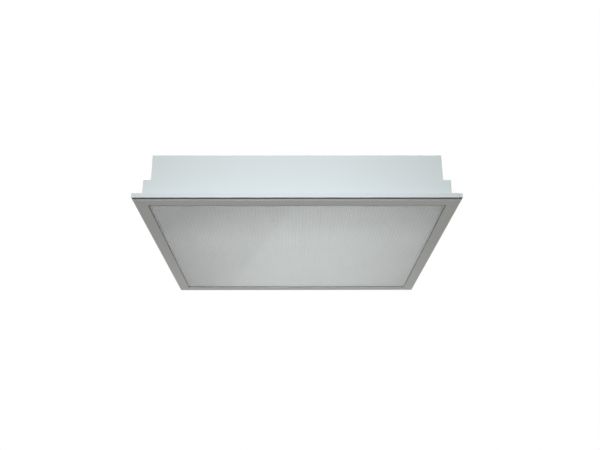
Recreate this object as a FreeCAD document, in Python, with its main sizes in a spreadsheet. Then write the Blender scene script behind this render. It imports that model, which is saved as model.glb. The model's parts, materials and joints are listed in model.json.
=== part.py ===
"""Recessed ceiling troffer, 600 mm module, with a hinged door and a prismatic diffuser.

Millimetres, +Z up. The origin is at the middle of the door's lower face, which is the
lowest surface of the light. The door is hinged along its rear edge (+Y), and its front
edge (-Y) drops when the two spring catches there let go.
"""
import FreeCAD, Part
import math
import os
import Sketcher

Vector = FreeCAD.Vector
doc = FreeCAD.newDocument("troffer")
sheet = doc.addObject("Spreadsheet::Sheet", "Sizes")

DRIVING_SIZES = (
    # folded steel housing
    ("flange_side", 595, "outer side of the square flange, for a 600 mm ceiling grid"),
    ("flange_width", 15.5, "from the flange's outer edge in to the housing wall"),
    ("skirt_height", 9, "depth of the folded edge round the flange"),
    ("skirt_lift", 4.6, "foot of the skirt above the door's lower face"),
    ("housing_height", 96, "top of the housing above the door's lower face"),
    ("step_height", 46, "shoulder in the two side walls above the door's lower face"),
    ("step_width", 14, "width of that shoulder"),
    ("sheet_gauge", 0.8, "steel of the housing and the gear tray"),
    ("fold_radius", 1, "outside radius of the folds"),
    ("bead_length", 380, "stiffening beads pressed into the top"),
    ("bead_width", 12, "across a bead"),
    ("bead_depth", 1.2, "of a bead"),
    ("bead_spacing", 100, "from bead to bead"),
    ("hanger_spacing", 400, "square of holes in the top for the hanging rods"),
    ("hanger_hole", 6.5, "clearance for M6 rods"),
    ("tab_width", 30, "spot-welded tabs of the end plates under the top"),
    ("tab_depth", 12, "how far all tabs reach in"),
    ("tab_spacing", 200, "from tab to tab"),
    ("side_tab_height", 18, "tabs of the end plates on the side walls"),
    # door
    ("door_inset", 2.5, "of the door's edge from the flange's outer edge"),
    ("rail_width", 23, "of the door rails, from the door's edge to its clear opening"),
    ("face_gauge", 1, "face and webs of the door rails"),
    ("rim_height", 2.65, "solid outer rim of the rails"),
    ("rim_width", 2, "thickness of that rim"),
    ("rim_round", 0.6, "rounded lower edge of the rim"),
    ("lip_height", 3, "inner lip that the diffuser lies on"),
    ("lip_width", 1.2, "thickness of that lip"),
    ("channel_setback", 5.4, "from the door's edge in to the rail's screw channel"),
    ("channel_width", 2.6, "clear width of the channel"),
    ("channel_height", 10, "top of the channel above the door's lower face"),
    ("angle_leg", 40, "leg of the angle in each mitred corner"),
    ("angle_play", 0.1, "of that angle in the channel"),
    ("diffuser_gauge", 3, "thickness of the diffuser"),
    ("diffuser_play", 1, "round the diffuser"),
    ("clip_width", 10, "clips over the diffuser's edge"),
    ("clip_gauge", 0.6, "strip of those clips"),
    ("clip_reach", 7, "of a clip's tongue over the diffuser"),
    ("clip_spacing", 300, "from clip to clip along a side"),
    ("buffer_length", 8, "rubber buffers between door and flange"),
    ("buffer_spacing", 240, "from buffer to buffer along a side"),
    ("seat_gap", 0.3, "between pieces that rest on each other loosely"),
    # hinges
    ("hinge_spacing", 400, "from hinge to hinge"),
    ("axis_inset", 2, "hinge axis in from the door's outer edge"),
    ("axis_height", 3, "hinge axis above the door's lower face"),
    ("pin_size", 2, "diameter of the pins"),
    ("pin_play", 0.05, "radial, in the housing's eye"),
    ("pin_fit", 0.02, "radial, in the door's ears"),
    ("eye_wall", 0.75, "round the pin"),
    ("eye_width", 10, "of the eye on the housing"),
    ("ear_gauge", 1, "of the ears on the door"),
    ("ear_play", 0.4, "between an ear and the eye"),
    ("leaf_gauge", 0.8, "strip of the hinges and strikes"),
    ("leaf_side", 9, "of the hinge leaf beyond its ear"),
    ("door_screw", 2.5, "screws in the rails' channel"),
    ("door_screw_length", 6, "under the head"),
    # catches
    ("catch_spacing", 360, "from catch to catch"),
    ("strike_width", 14, "of the strike on the door"),
    ("strike_height", 34, "top of the strike above the door's lower face"),
    ("hook_reach", 4.4, "how far the strike's hook stands out"),
    ("hook_drop", 4, "how far its tip hangs down"),
    ("catch_hold", 1.2, "how far the hook laps over the spring's nose"),
    ("spring_width", 12, "of the catch spring"),
    ("spring_gauge", 0.5, "of the catch spring"),
    ("spring_bulge", 3.4, "of the spring's nose out of the wall"),
    ("spring_flank", 2, "rise of its flanks for each millimetre out from the wall"),
    ("spring_head", 7, "of the spring that is welded to the wall"),
    # gear tray
    ("tray_end_gap", 3.2, "between the tray's ends and the end plates"),
    ("tray_rise", 14, "of its sloping sides"),
    ("tray_lip", 15, "lips under the shoulders"),
    ("tray_play", 1, "beside the lips"),
    ("tray_end", 14, "depth of the folded ends"),
    ("tray_clip_spacing", 400, "of the push-in clips along each lip"),
    ("lead_hole", 12, "square hole for the leads of the light boards"),
    ("lead_hole_inset", 25.2, "of that hole from the fold of the tray's sloping side"),
    ("lead_row_inset", 78, "row of the lead hole, the driver and the sockets from the tray's end"),
    # light boards
    ("board_width", 20, "across a board"),
    ("board_gauge", 1.6, "thickness of a board"),
    ("board_inset", 56.2, "of the outer boards' middle from the fold of the tray's sloping side"),
    ("board_end_gap", 8, "from a board's end to the tray's end"),
    ("board_end", 4.5, "of a board beyond its last pitch"),
    ("chip_length", 3.5, "of a light chip"),
    ("chip_width", 2.8, "of a light chip"),
    ("chip_height", 0.7, "of a light chip"),
    ("push_clip_stem", 3, "square stem of the push-in clips of the boards and the tray"),
    ("push_clip_head", 5.5, "head of those clips"),
    ("socket_length", 10, "push-in sockets on the boards"),
    ("socket_width", 6.5, "across a socket"),
    ("socket_height", 4, "of a socket"),
    ("lead_size", 1.4, "diameter of the leads"),
    ("lead_spacing", 3, "between red and black"),
    # driver
    ("driver_width", 42, "across the driver"),
    ("driver_height", 25, "over its base"),
    ("driver_case_length", 230, "of the closed case"),
    ("driver_base", 1, "thickness of the base plate"),
    ("driver_round", 2.5, "along the case's top edges"),
    ("cover_length", 17, "of the covers over its terminals"),
    ("foot_length", 8, "of the base plate beyond the covers"),
    ("cover_drop", 3, "of the covers below the case's top"),
    ("cover_inset", 2.2, "of the covers from the case's sides"),
    ("foot_slot", 4.4, "open slot in each foot"),
    ("foot_screw", 4, "screws through the feet"),
    ("foot_screw_inset", 3.6, "of those screws from the feet's ends"),
    # terminal block, cable clamp and earth
    ("entry_inset", 82.2, "of the cable entry, the clamp and the terminal block from the upper wall"),
    ("entry_y", -20, "cable entry in the top"),
    ("entry_hole", 22, "for the grommet"),
    ("cable_bore", 10, "through the grommet"),
    ("grommet_lip", 2.5, "round the hole, and its thickness"),
    ("block_y", 60, "middle of the terminal block"),
    ("block_length", 30, "across the poles"),
    ("block_width", 24, "along the wires"),
    ("block_height", 16, "of the terminal block"),
    ("peg_length", 4, "snap-in pegs of the block and the clamp"),
    ("peg_width", 3, "of those pegs"),
    ("pole_spacing", 9, "from pole to pole"),
    ("pole_width", 6, "inside a pole's chamber"),
    ("chamber_length", 16, "inside a pole's chamber"),
    ("wire_hole", 2.6, "square wire entries"),
    ("wire_insertion", 3, "of the wires into the block"),
    ("contact_gauge", 2.5, "brass bars"),
    ("button_length", 8, "shaft of a release button"),
    ("button_depth", 5.8, "depth of that shaft"),
    ("button_show", 2, "of the buttons under the block"),
    ("button_play", 0.2, "of a button across its shaft"),
    ("button_collar", 1.5, "collar that keeps a button in"),
    ("leaf_room", 2.7, "between a button and its contact"),
    ("clamp_y", 25, "middle of the cable clamp"),
    ("clamp_width", 12, "along the cable"),
    ("clamp_gap", 14, "width of the gap for the cable"),
    ("clamp_depth", 8, "height of that gap"),
    ("clamp_wall", 2.2, "of the clamp"),
    ("clamp_foot", 10, "of the clamp"),
    ("earth_inset", 37.2, "of the earth stud from the upper wall"),
    ("earth_y", 95, "place of the earth stud"),
    ("earth_stud", 4, "diameter of the stud"),
    ("stud_length", 12, "below the top"),
    ("tag_gauge", 0.8, "ring tag on the earth wire"),
    ("wire_size", 2, "diameter of the mains wires"),
    ("screw_head", 0.95, "corner of a hexagon head from its middle, in screw sizes"),
    ("screw_head_height", 0.5, "height of a head, in screw sizes"),
    ("screw_play", 0.05, "radial, round every screw and stud"),
    ("peg_play", 0.1, "round pegs and push-in clips"),
)

for row, (alias, value, note) in enumerate(DRIVING_SIZES, start=1):
    sheet.set(f"A{row}", alias.replace("_", " "))
    sheet.set(f"B{row}", str(value))
    sheet.set(f"C{row}", note)
    sheet.setAlias(f"B{row}", alias)
doc.recompute()


class Size:
    """A size worked out from the sheet: the expression that features are bound to, and its value."""

    def __init__(self, text, value):
        self.text = text
        self.value = value

    def __add__(self, other):
        other = as_size(other)
        return Size(f"({self.text} + {other.text})", self.value + other.value)

    def __sub__(self, other):
        other = as_size(other)
        return Size(f"({self.text} - {other.text})", self.value - other.value)

    def __mul__(self, other):
        other = as_size(other)
        return Size(f"({self.text} * {other.text})", self.value * other.value)

    def __truediv__(self, other):
        other = as_size(other)
        return Size(f"({self.text} / {other.text})", self.value / other.value)

    def __neg__(self):
        return Size(f"(-1 * {self.text})", -self.value)


def as_size(number):
    return number if isinstance(number, Size) else Size(repr(number), number)


def size(alias):
    return Size(f"Sizes.{alias}", float(sheet.get(alias)))


# Places that several pieces share
gauge = size("sheet_gauge")
seat_gap = size("seat_gap")
screw_play = size("screw_play")
peg_play = size("peg_play")

edge = size("flange_side") / 2
skirt_inside = edge - gauge
wall = edge - size("flange_width")
wall_inside = wall - gauge
upper_wall = wall - size("step_width")
upper_inside = upper_wall - gauge
flange_top = size("skirt_lift") + size("skirt_height")
flange_under = flange_top - gauge
step_top = size("step_height")
step_under = step_top - gauge
top = size("housing_height")
top_under = top - gauge
hanger = size("hanger_spacing") / 2

door_edge = edge - size("door_inset")
opening = door_edge - size("rail_width")
face = size("face_gauge")
rim_inside = door_edge - size("rim_width")
channel_out = door_edge - size("channel_setback")
channel_in = channel_out - face * 2 - size("channel_width")
channel_middle = (channel_out + channel_in) / 2
channel_top = size("channel_height")
diffuser_under = size("lip_height")
diffuser_top = diffuser_under + size("diffuser_gauge")

axis_y = door_edge - size("axis_inset")
axis_z = size("axis_height")
pin_radius = size("pin_size") / 2
eye_bore = pin_radius + size("pin_play")
eye_radius = eye_bore + size("eye_wall")
ear_inside = size("eye_width") / 2 + size("ear_play")
ear_outside = ear_inside + size("ear_gauge")
pin_half = ear_outside + size("ear_play") / 2
hinge_x = size("hinge_spacing") / 2
leaf = size("leaf_gauge")
leaf_screw_x = ear_outside + size("leaf_side") / 2

catch_x = size("catch_spacing") / 2
spring_nose = wall_inside - size("spring_bulge")
hook_out = spring_nose + size("catch_hold")
strike_upright = hook_out - size("hook_reach")
hook_tip = size("strike_height") - size("hook_drop")

tray_edge = wall_inside - size("tray_play")
tray_slope_foot = tray_edge - size("tray_lip")
tray_flat = tray_slope_foot - size("tray_rise")
tray_end_y = wall_inside - size("tray_end_gap")
tray_clip_x = (tray_edge + tray_slope_foot) / 2
tray_clip_y = size("tray_clip_spacing") / 2
tray_lip_under = step_under - gauge
tray_top = step_under + size("tray_rise")
tray_under = tray_top - gauge

chips_in_row = 18
pitches_to_clip = 4
board_under = tray_under - size("board_gauge")
outer_board = tray_flat - size("board_inset")
board_x = [outer_board * share for share in (-1, -1 / 3, 1 / 3, 1)]
half_board = tray_end_y - size("board_end_gap")
chip_pitch = (half_board - size("board_end")) * 2 / chips_in_row
board_clip_y = [chip_pitch * (pitches_to_clip * step) for step in (-2, -1, 0, 1, 2)]
clip_hole = size("push_clip_stem") / 2 + peg_play
socket_out = size("board_width") / 2
lead_hole_x = size("lead_hole_inset") - tray_flat
row_y = tray_end_y - size("lead_row_inset")

driver_floor = tray_top + size("driver_base")
driver_top = tray_top + size("driver_height")
driver_middle_z = (driver_floor + driver_top) / 2
half_case = size("driver_case_length") / 2
driver_end = half_case + size("cover_length")
half_driver = driver_end + size("foot_length")
foot_screw_x = half_driver - size("foot_screw_inset")

entry_x = upper_inside - size("entry_inset")
clamp_y = size("clamp_y")
clamp_peg_x = size("clamp_gap") / 2 + size("clamp_wall") + size("clamp_foot") / 2
block_y = size("block_y")
block_under = top_under - size("block_height")
peg_x = size("block_length") / 2 - size("peg_length")
pole_half = size("pole_width") / 2
button_wide = pole_half - size("button_play") / 2
shaft_half = size("button_length") / 2
chamber_half = size("chamber_length") / 2
shoulder = block_under + size("button_depth")
collar_under = shoulder + seat_gap
collar_top = collar_under + size("button_collar")
contact_under = collar_top + size("leaf_room")
chamber_roof = contact_under + size("contact_gauge")
wire_z = contact_under - size("wire_hole") / 2
earth_x = upper_inside - size("earth_inset")
stud_radius = size("earth_stud") / 2
tag_under = top_under - size("tag_gauge")
tag_reach = size("earth_stud") * 3.5
crimp_half = size("wire_size") * 0.9

sub_parts = []


# Helpers

def new_body(label):
    body = doc.addObject("PartDesign::Body", label)
    body.Label = label
    sub_parts.append(body)
    return body


def origin_feature(body, role):
    return next(feature for feature in body.Origin.OriginFeatures if feature.Role == role)


def new_sketch(body, role, lift=0, turn=0):
    """Sketch on an origin plane, lifted along the plane's normal and turned about it."""
    sketch = body.newObject("Sketcher::SketchObject", "sketch")
    sketch.AttachmentSupport = (origin_feature(body, role), "")
    sketch.MapMode = "FlatFace"
    sketch.AttachmentOffset = FreeCAD.Placement(Vector(), FreeCAD.Rotation(Vector(0, 0, 1), turn))
    sketch.setExpression("AttachmentOffset.Base.z", as_size(lift).text)
    return sketch


def bind(sketch, kind, place, *ends):
    """Add one dimension to a sketch and bind it to its size."""
    place = as_size(place)
    row = sketch.addConstraint(Sketcher.Constraint(kind, *ends, place.value))
    sketch.setExpression(f"Constraints[{row}]", place.text)


def hold(sketch, geometry, point, across, up):
    """Hold one point of a sketch across and up from the sketch's origin."""
    bind(sketch, "DistanceX", across, -1, 1, geometry, point)
    bind(sketch, "DistanceY", up, -1, 1, geometry, point)


def outline(sketch, corners):
    """Closed straight-sided outline."""
    first = sketch.GeometryCount
    places = [Vector(as_size(across).value, as_size(up).value) for across, up in corners]
    count = len(corners)
    for index, start in enumerate(places):
        sketch.addGeometry(Part.LineSegment(start, places[(index + 1) % count]))
    for index, (across, up) in enumerate(corners):
        following = first + (index + 1) % count
        sketch.addConstraint(Sketcher.Constraint("Coincident", first + index, 2, following, 1))
        hold(sketch, first + index, 1, across, up)


def rectangle(sketch, left, right, low, high):
    outline(sketch, [(left, low), (right, low), (right, high), (left, high)])


def box_round(sketch, across, up, half_across, half_up):
    """Rectangle round a middle point."""
    across, up = as_size(across), as_size(up)
    rectangle(sketch, across - half_across, across + half_across, up - half_up, up + half_up)


def hexagon(sketch, across, up, corner):
    """Regular hexagon with the given distance from its middle to a corner."""
    across, up = as_size(across), as_size(up)
    turns = [math.radians(60 * step) for step in range(6)]
    outline(sketch, [(across + corner * math.cos(turn), up + corner * math.sin(turn)) for turn in turns])


def ring(sketch, across, up, radius):
    middle = Vector(as_size(across).value, as_size(up).value)
    circle = sketch.addGeometry(Part.Circle(middle, Vector(0, 0, 1), as_size(radius).value))
    hold(sketch, circle, 3, across, up)
    bind(sketch, "Radius", radius, circle)


def pad(body, sketch, depth, back=False, both=False):
    feature = body.newObject("PartDesign::Pad", "pad")
    feature.Profile = sketch
    feature.setExpression("Length", as_size(depth).text)
    feature.Reversed = back
    feature.SideType = "Symmetric" if both else "One side"
    return feature


def pocket(body, sketch, depth, back=False):
    """Cut a sketch's outline against its normal, or along it with back; it has to cut something."""
    doc.recompute()
    before = body.Shape.Volume
    feature = body.newObject("PartDesign::Pocket", "pocket")
    feature.Profile = sketch
    feature.setExpression("Length", as_size(depth).text)
    feature.Reversed = back
    doc.recompute()
    if body.Shape.Volume > before - 0.001:
        raise ValueError(f"a pocket in {body.Label} cuts nothing")
    return feature


def revolve(body, sketch):
    """Turn a sketch once round its own upright axis."""
    feature = body.newObject("PartDesign::Revolution", "revolution")
    feature.Profile = sketch
    feature.ReferenceAxis = (sketch, ["V_Axis"])
    feature.Angle = 360
    return feature


def repeat(body, role, spacing, count):
    """Row of the whole body so far along an origin axis."""
    row = body.newObject("PartDesign::LinearPattern", "row")
    row.TransformMode = "Whole shape"
    row.Direction = (origin_feature(body, role), [""])
    row.Mode = "Spacing"
    row.setExpression("Offset", as_size(spacing).text)
    row.Occurrences = count
    body.Tip = row


def repeat_around(body, features, count):
    """Copies of some features round the body's upright axis."""
    around = body.newObject("PartDesign::PolarPattern", "around")
    around.Originals = features
    around.Axis = (origin_feature(body, "Z_Axis"), [""])
    around.Angle = 360
    around.Occurrences = count
    body.Tip = around


def round_edges(body, radius, chosen):
    """Round the edges whose middle point and direction the test chooses."""
    doc.recompute()
    base = body.Tip
    names = []
    for number, run in enumerate(base.Shape.Edges, start=1):
        if run.Curve.TypeId != "Part::GeomLine":
            continue
        if chosen(run.CenterOfMass, run.tangentAt(run.FirstParameter)):
            names.append(f"Edge{number}")
    if not names:
        raise ValueError(f"no edge of {body.Label} to round")
    fillet = body.newObject("PartDesign::Fillet", "fillet")
    fillet.Base = (base, names)
    fillet.setExpression("Radius", as_size(radius).text)


def near(first, second):
    return abs(first - second) < 0.01


def place(body, x, y, z, turn=0):
    body.Placement = FreeCAD.Placement(Vector(), FreeCAD.Rotation(Vector(0, 0, 1), turn))
    for letter, distance in (("x", x), ("y", y), ("z", z)):
        body.setExpression(f"Placement.Base.{letter}", as_size(distance).text)


def make_screws(label, spots, seat, shank, length):
    """Hexagon-headed screws that point down, with their heads seated at one height."""
    body = new_body(label)
    heads = new_sketch(body, "XY_Plane", seat)
    shanks = new_sketch(body, "XY_Plane", seat)
    for x, y in spots:
        hexagon(heads, x, y, shank * size("screw_head"))
        ring(shanks, x, y, shank / 2)
    pad(body, heads, shank * size("screw_head_height"))
    pad(body, shanks, length, back=True)


# Housing

def fold_rim(body, turn):
    """Flange and skirt along one side, mitred at the corners."""
    flange = new_sketch(body, "XY_Plane", flange_under, turn)
    outline(flange, [(-wall_inside, wall_inside), (wall_inside, wall_inside), (edge, edge), (-edge, edge)])
    pad(body, flange, gauge)
    skirt = new_sketch(body, "XY_Plane", size("skirt_lift"), turn)
    outline(skirt, [(-skirt_inside, skirt_inside), (skirt_inside, skirt_inside), (edge, edge), (-edge, edge)])
    pad(body, skirt, size("skirt_height") - gauge)


def bead(sketch, across, half_width, half_length):
    """Outline of a stiffening bead along the sketch's height, with tapered ends."""
    narrow = half_width / 2
    shoulder_y = half_length - half_width
    outline(sketch, [
        (across - half_width, -shoulder_y),
        (across - narrow, -half_length),
        (across + narrow, -half_length),
        (across + half_width, -shoulder_y),
        (across + half_width, shoulder_y),
        (across + narrow, half_length),
        (across - narrow, half_length),
        (across - half_width, shoulder_y),
    ])


def make_housing_body():
    """Folded channel: top, two stepped side walls, and the flange and skirt of those two sides."""
    body = new_body("housing_body")
    profile = new_sketch(body, "XZ_Plane")
    outline(profile, [
        (wall, flange_top),
        (wall, step_top),
        (upper_wall, step_top),
        (upper_wall, top),
        (-upper_wall, top),
        (-upper_wall, step_top),
        (-wall, step_top),
        (-wall, flange_top),
        (-wall_inside, flange_top),
        (-wall_inside, step_under),
        (-upper_inside, step_under),
        (-upper_inside, top_under),
        (upper_inside, top_under),
        (upper_inside, step_under),
        (wall_inside, step_under),
        (wall_inside, flange_top),
    ])
    pad(body, profile, wall_inside * 2, both=True)
    round_edges(body, size("fold_radius"), lambda middle, along: near(abs(along.y), 1) and (
        (near(abs(middle.x), upper_wall.value) and near(middle.z, top.value))
        or (near(abs(middle.x), wall.value) and near(middle.z, step_top.value))))
    for turn in (90, -90):
        fold_rim(body, turn)
    round_edges(body, size("fold_radius"), lambda middle, along: near(abs(along.y), 1) and (
        near(abs(middle.x), edge.value) and near(middle.z, flange_top.value)))
    beads = new_sketch(body, "XY_Plane", top_under)
    hollows = new_sketch(body, "XY_Plane", top)
    half_width = size("bead_width") / 2
    half_length = size("bead_length") / 2
    for step in (-1, 0, 1):
        bead(beads, size("bead_spacing") * step, half_width, half_length)
        bead(hollows, size("bead_spacing") * step, half_width - gauge, half_length - gauge)
    pad(body, beads, size("bead_depth"), back=True)
    pocket(body, hollows, size("bead_depth"))
    holes = new_sketch(body, "XY_Plane", top)
    ring(holes, entry_x, size("entry_y"), size("entry_hole") / 2)
    for side in (-1, 1):
        for end in (-1, 1):
            ring(holes, hanger * side, hanger * end, size("hanger_hole") / 2)
        for x, y in ((entry_x + clamp_peg_x * side, clamp_y), (entry_x + peg_x * side, block_y)):
            box_round(holes, x, y, size("peg_length") / 2 + peg_play, size("peg_width") / 2 + peg_play)
    pocket(body, holes, gauge * 2)
    clip_holes = new_sketch(body, "XY_Plane", step_top)
    for side in (-1, 1):
        for end in (-1, 1):
            box_round(clip_holes, tray_clip_x * side, tray_clip_y * end, clip_hole, clip_hole)
    pocket(body, clip_holes, gauge * 2)


def make_end_plate(label, turn):
    """Flat stepped plate that closes one end of the channel, with its flange, skirt and tabs."""
    body = new_body(label)
    blank = new_sketch(body, "XZ_Plane", -wall_inside)
    outline(blank, [
        (wall, flange_top),
        (wall, step_top),
        (upper_wall, step_top),
        (upper_wall, top),
        (-upper_wall, top),
        (-upper_wall, step_top),
        (-wall, step_top),
        (-wall, flange_top),
    ])
    pad(body, blank, gauge, back=True)
    fold_rim(body, 0)
    round_edges(body, size("fold_radius"), lambda middle, along: near(abs(along.x), 1) and (
        near(middle.y, edge.value) and near(middle.z, flange_top.value)))
    half_tab = size("tab_width") / 2
    tab_end = wall_inside - size("tab_depth")
    top_tabs = new_sketch(body, "XY_Plane", top_under - gauge)
    for step in (-1, 0, 1):
        middle = size("tab_spacing") * step
        rectangle(top_tabs, middle - half_tab, middle + half_tab, tab_end, wall_inside)
    pad(body, top_tabs, gauge)
    side_tabs = new_sketch(body, "XY_Plane", flange_top + size("tab_depth") / 2)
    for side in (-1, 1):
        rectangle(side_tabs, wall_inside * side, (wall_inside - gauge) * side, tab_end, wall_inside)
    pad(body, side_tabs, size("side_tab_height"))
    place(body, 0, 0, 0, turn)


# Gear tray and light boards

def make_gear_tray():
    """White reflector tray: a hat section whose lips are clipped up under the shoulders."""
    body = new_body("gear_tray")
    shift = gauge * math.tan(math.radians(22.5))
    profile = new_sketch(body, "XZ_Plane")
    outline(profile, [
        (tray_edge, tray_lip_under),
        (tray_edge, step_under),
        (tray_slope_foot, step_under),
        (tray_flat, tray_top),
        (-tray_flat, tray_top),
        (-tray_slope_foot, step_under),
        (-tray_edge, step_under),
        (-tray_edge, tray_lip_under),
        (shift - tray_slope_foot, tray_lip_under),
        (shift - tray_flat, tray_under),
        (tray_flat - shift, tray_under),
        (tray_slope_foot - shift, tray_lip_under),
    ])
    pad(body, profile, tray_end_y * 2, both=True)
    ends = new_sketch(body, "XY_Plane", tray_under)
    half_end = tray_flat - gauge * 2
    for side in (-1, 1):
        rectangle(ends, -half_end, half_end, tray_end_y * side, (tray_end_y - gauge) * side)
    pad(body, ends, size("tray_end"), back=True)
    lip_holes = new_sketch(body, "XY_Plane", step_under)
    for side in (-1, 1):
        for end in (-1, 1):
            box_round(lip_holes, tray_clip_x * side, tray_clip_y * end, clip_hole, clip_hole)
    pocket(body, lip_holes, gauge * 2)
    holes = new_sketch(body, "XY_Plane", tray_top)
    box_round(holes, lead_hole_x, row_y, size("lead_hole") / 2, size("lead_hole") / 2)
    for side in (-1, 1):
        ring(holes, foot_screw_x * side, row_y, size("foot_screw") / 2 + screw_play)
    for x in board_x:
        for y in board_clip_y:
            box_round(holes, x, y, clip_hole, clip_hole)
    pocket(body, holes, gauge * 2)


def make_lead_grommet():
    """Square rubber grommet in the tray's lead hole."""
    body = new_body("lead_grommet")
    rubber = size("board_gauge")
    hole = size("lead_hole") / 2
    for lift, outside, depth in (
        (tray_under - rubber, hole + rubber, rubber),
        (tray_under, hole, gauge),
        (tray_top, hole + rubber, rubber),
    ):
        layer = new_sketch(body, "XY_Plane", lift)
        box_round(layer, 0, 0, outside, outside)
        box_round(layer, 0, 0, hole - rubber, hole - rubber)
        pad(body, layer, depth)
    place(body, lead_hole_x, row_y, 0)


def make_light_board(number, x):
    """Aluminium-backed strip board with five square holes for its clips."""
    body = new_body(f"light_board_{number}")
    blank = new_sketch(body, "XY_Plane", board_under)
    box_round(blank, 0, 0, size("board_width") / 2, half_board)
    for y in board_clip_y:
        box_round(blank, 0, y, clip_hole, clip_hole)
    pad(body, blank, size("board_gauge"))
    place(body, x, 0, 0)


def make_light_chips():
    """Rows of packaged light-emitting diodes, one row to a board."""
    body = new_body("light_chips")
    profile = new_sketch(body, "XY_Plane", board_under)
    for x in board_x:
        box_round(profile, x, 0, size("chip_width") / 2, size("chip_length") / 2)
    pad(body, profile, size("chip_height"), back=True)
    repeat(body, "Y_Axis", chip_pitch, chips_in_row)
    place(body, 0, chip_pitch * ((1 - chips_in_row) / 2), 0)


def make_push_clips(label, columns, first_row, row_spacing, rows, seat, grip):
    """Nylon clips pushed up through two sheets, with barbs that spread above the upper one."""
    body = new_body(label)
    half_head = size("push_clip_head") / 2
    half_stem = size("push_clip_stem") / 2
    barb = clip_hole + peg_play * 6
    heads = new_sketch(body, "XY_Plane", seat)
    for x in columns:
        box_round(heads, x, 0, half_head, half_head)
    pad(body, heads, half_stem, back=True)
    stems = new_sketch(body, "XZ_Plane")
    for x in columns:
        outline(stems, [
            (x - half_stem, seat),
            (x + half_stem, seat),
            (x + half_stem, grip),
            (x + barb, grip),
            (x + half_stem / 2, grip + size("push_clip_stem")),
            (x - half_stem / 2, grip + size("push_clip_stem")),
            (x - barb, grip),
            (x - half_stem, grip),
        ])
    pad(body, stems, half_stem * 2, both=True)
    repeat(body, "Y_Axis", row_spacing, rows)
    place(body, 0, first_row, 0)


def make_board_sockets():
    """Push-in sockets on both long edges of every board, each with a release notch."""
    body = new_body("light_board_sockets")
    half_length = size("socket_length") / 2
    width = size("socket_width")
    blocks = new_sketch(body, "XY_Plane", board_under)
    notches = new_sketch(body, "XY_Plane", board_under - size("socket_height"))
    for x in board_x:
        for side in (-1, 1):
            outside = x + socket_out * side
            inside = x + (socket_out - width) * side
            middle = x + (socket_out - width / 2) * side
            rectangle(blocks, outside, inside, -half_length, half_length)
            rectangle(notches, middle, inside, -half_length / 3, half_length / 3)
    pad(body, blocks, size("socket_height"), back=True)
    pocket(body, notches, size("socket_height") / 4, back=True)
    place(body, 0, row_y, 0)


# Driver

def make_driver_case():
    """Closed case on a base plate with an open slot in each foot."""
    body = new_body("driver_case")
    half_width = size("driver_width") / 2
    half_slot = size("foot_slot") / 2
    slot_end = foot_screw_x - half_slot
    base = new_sketch(body, "XY_Plane", tray_top)
    outline(base, [
        (-half_driver, -half_width),
        (half_driver, -half_width),
        (half_driver, -half_slot),
        (slot_end, -half_slot),
        (slot_end, half_slot),
        (half_driver, half_slot),
        (half_driver, half_width),
        (-half_driver, half_width),
        (-half_driver, half_slot),
        (-slot_end, half_slot),
        (-slot_end, -half_slot),
        (-half_driver, -half_slot),
    ])
    pad(body, base, size("driver_base"))
    case = new_sketch(body, "XY_Plane", driver_floor)
    box_round(case, 0, 0, half_case, half_width)
    pad(body, case, driver_top - driver_floor)
    round_edges(body, size("driver_round"), lambda middle, along: near(abs(along.x), 1) and (
        near(middle.z, driver_top.value)))
    place(body, 0, row_y, 0)


def make_driver_covers():
    """Plastic covers over the terminals at both ends of the driver, ribbed on top."""
    body = new_body("driver_covers")
    half_width = size("driver_width") / 2 - size("cover_inset")
    cover_top = driver_top - size("cover_drop")
    wide = new_sketch(body, "XY_Plane", driver_floor)
    for side in (-1, 1):
        rectangle(wide, half_case * side, driver_end * side, -half_width, half_width)
    pad(body, wide, cover_top - driver_floor)
    round_edges(body, size("driver_round"), lambda middle, along: near(abs(along.y), 1) and (
        near(abs(middle.x), driver_end.value) and near(middle.z, cover_top.value)))
    ribs = new_sketch(body, "XY_Plane", cover_top)
    for side in (-1, 1):
        for step in (1, 2, 3):
            line = half_case + size("cover_length") * (step * 0.2)
            rectangle(ribs, line * side, (line + size("driver_base")) * side,
                      -half_width / 2, half_width / 2)
    pocket(body, ribs, size("driver_base") / 2)
    place(body, 0, row_y, 0)


# Mains side, under the top

def make_cable_grommet():
    """Rubber grommet in the cable entry, with a sloping outer lip."""
    body = new_body("cable_grommet")
    hole = size("entry_hole") / 2
    rise = size("grommet_lip")
    lip = hole + rise
    bore = size("cable_bore") / 2
    profile = new_sketch(body, "XZ_Plane")
    outline(profile, [
        (bore, -gauge - rise),
        (lip, -gauge - rise),
        (lip, -gauge),
        (hole, -gauge),
        (hole, 0),
        (lip, 0),
        (lip - rise, rise),
        (bore, rise),
    ])
    revolve(body, profile)
    place(body, entry_x, size("entry_y"), top)


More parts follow.
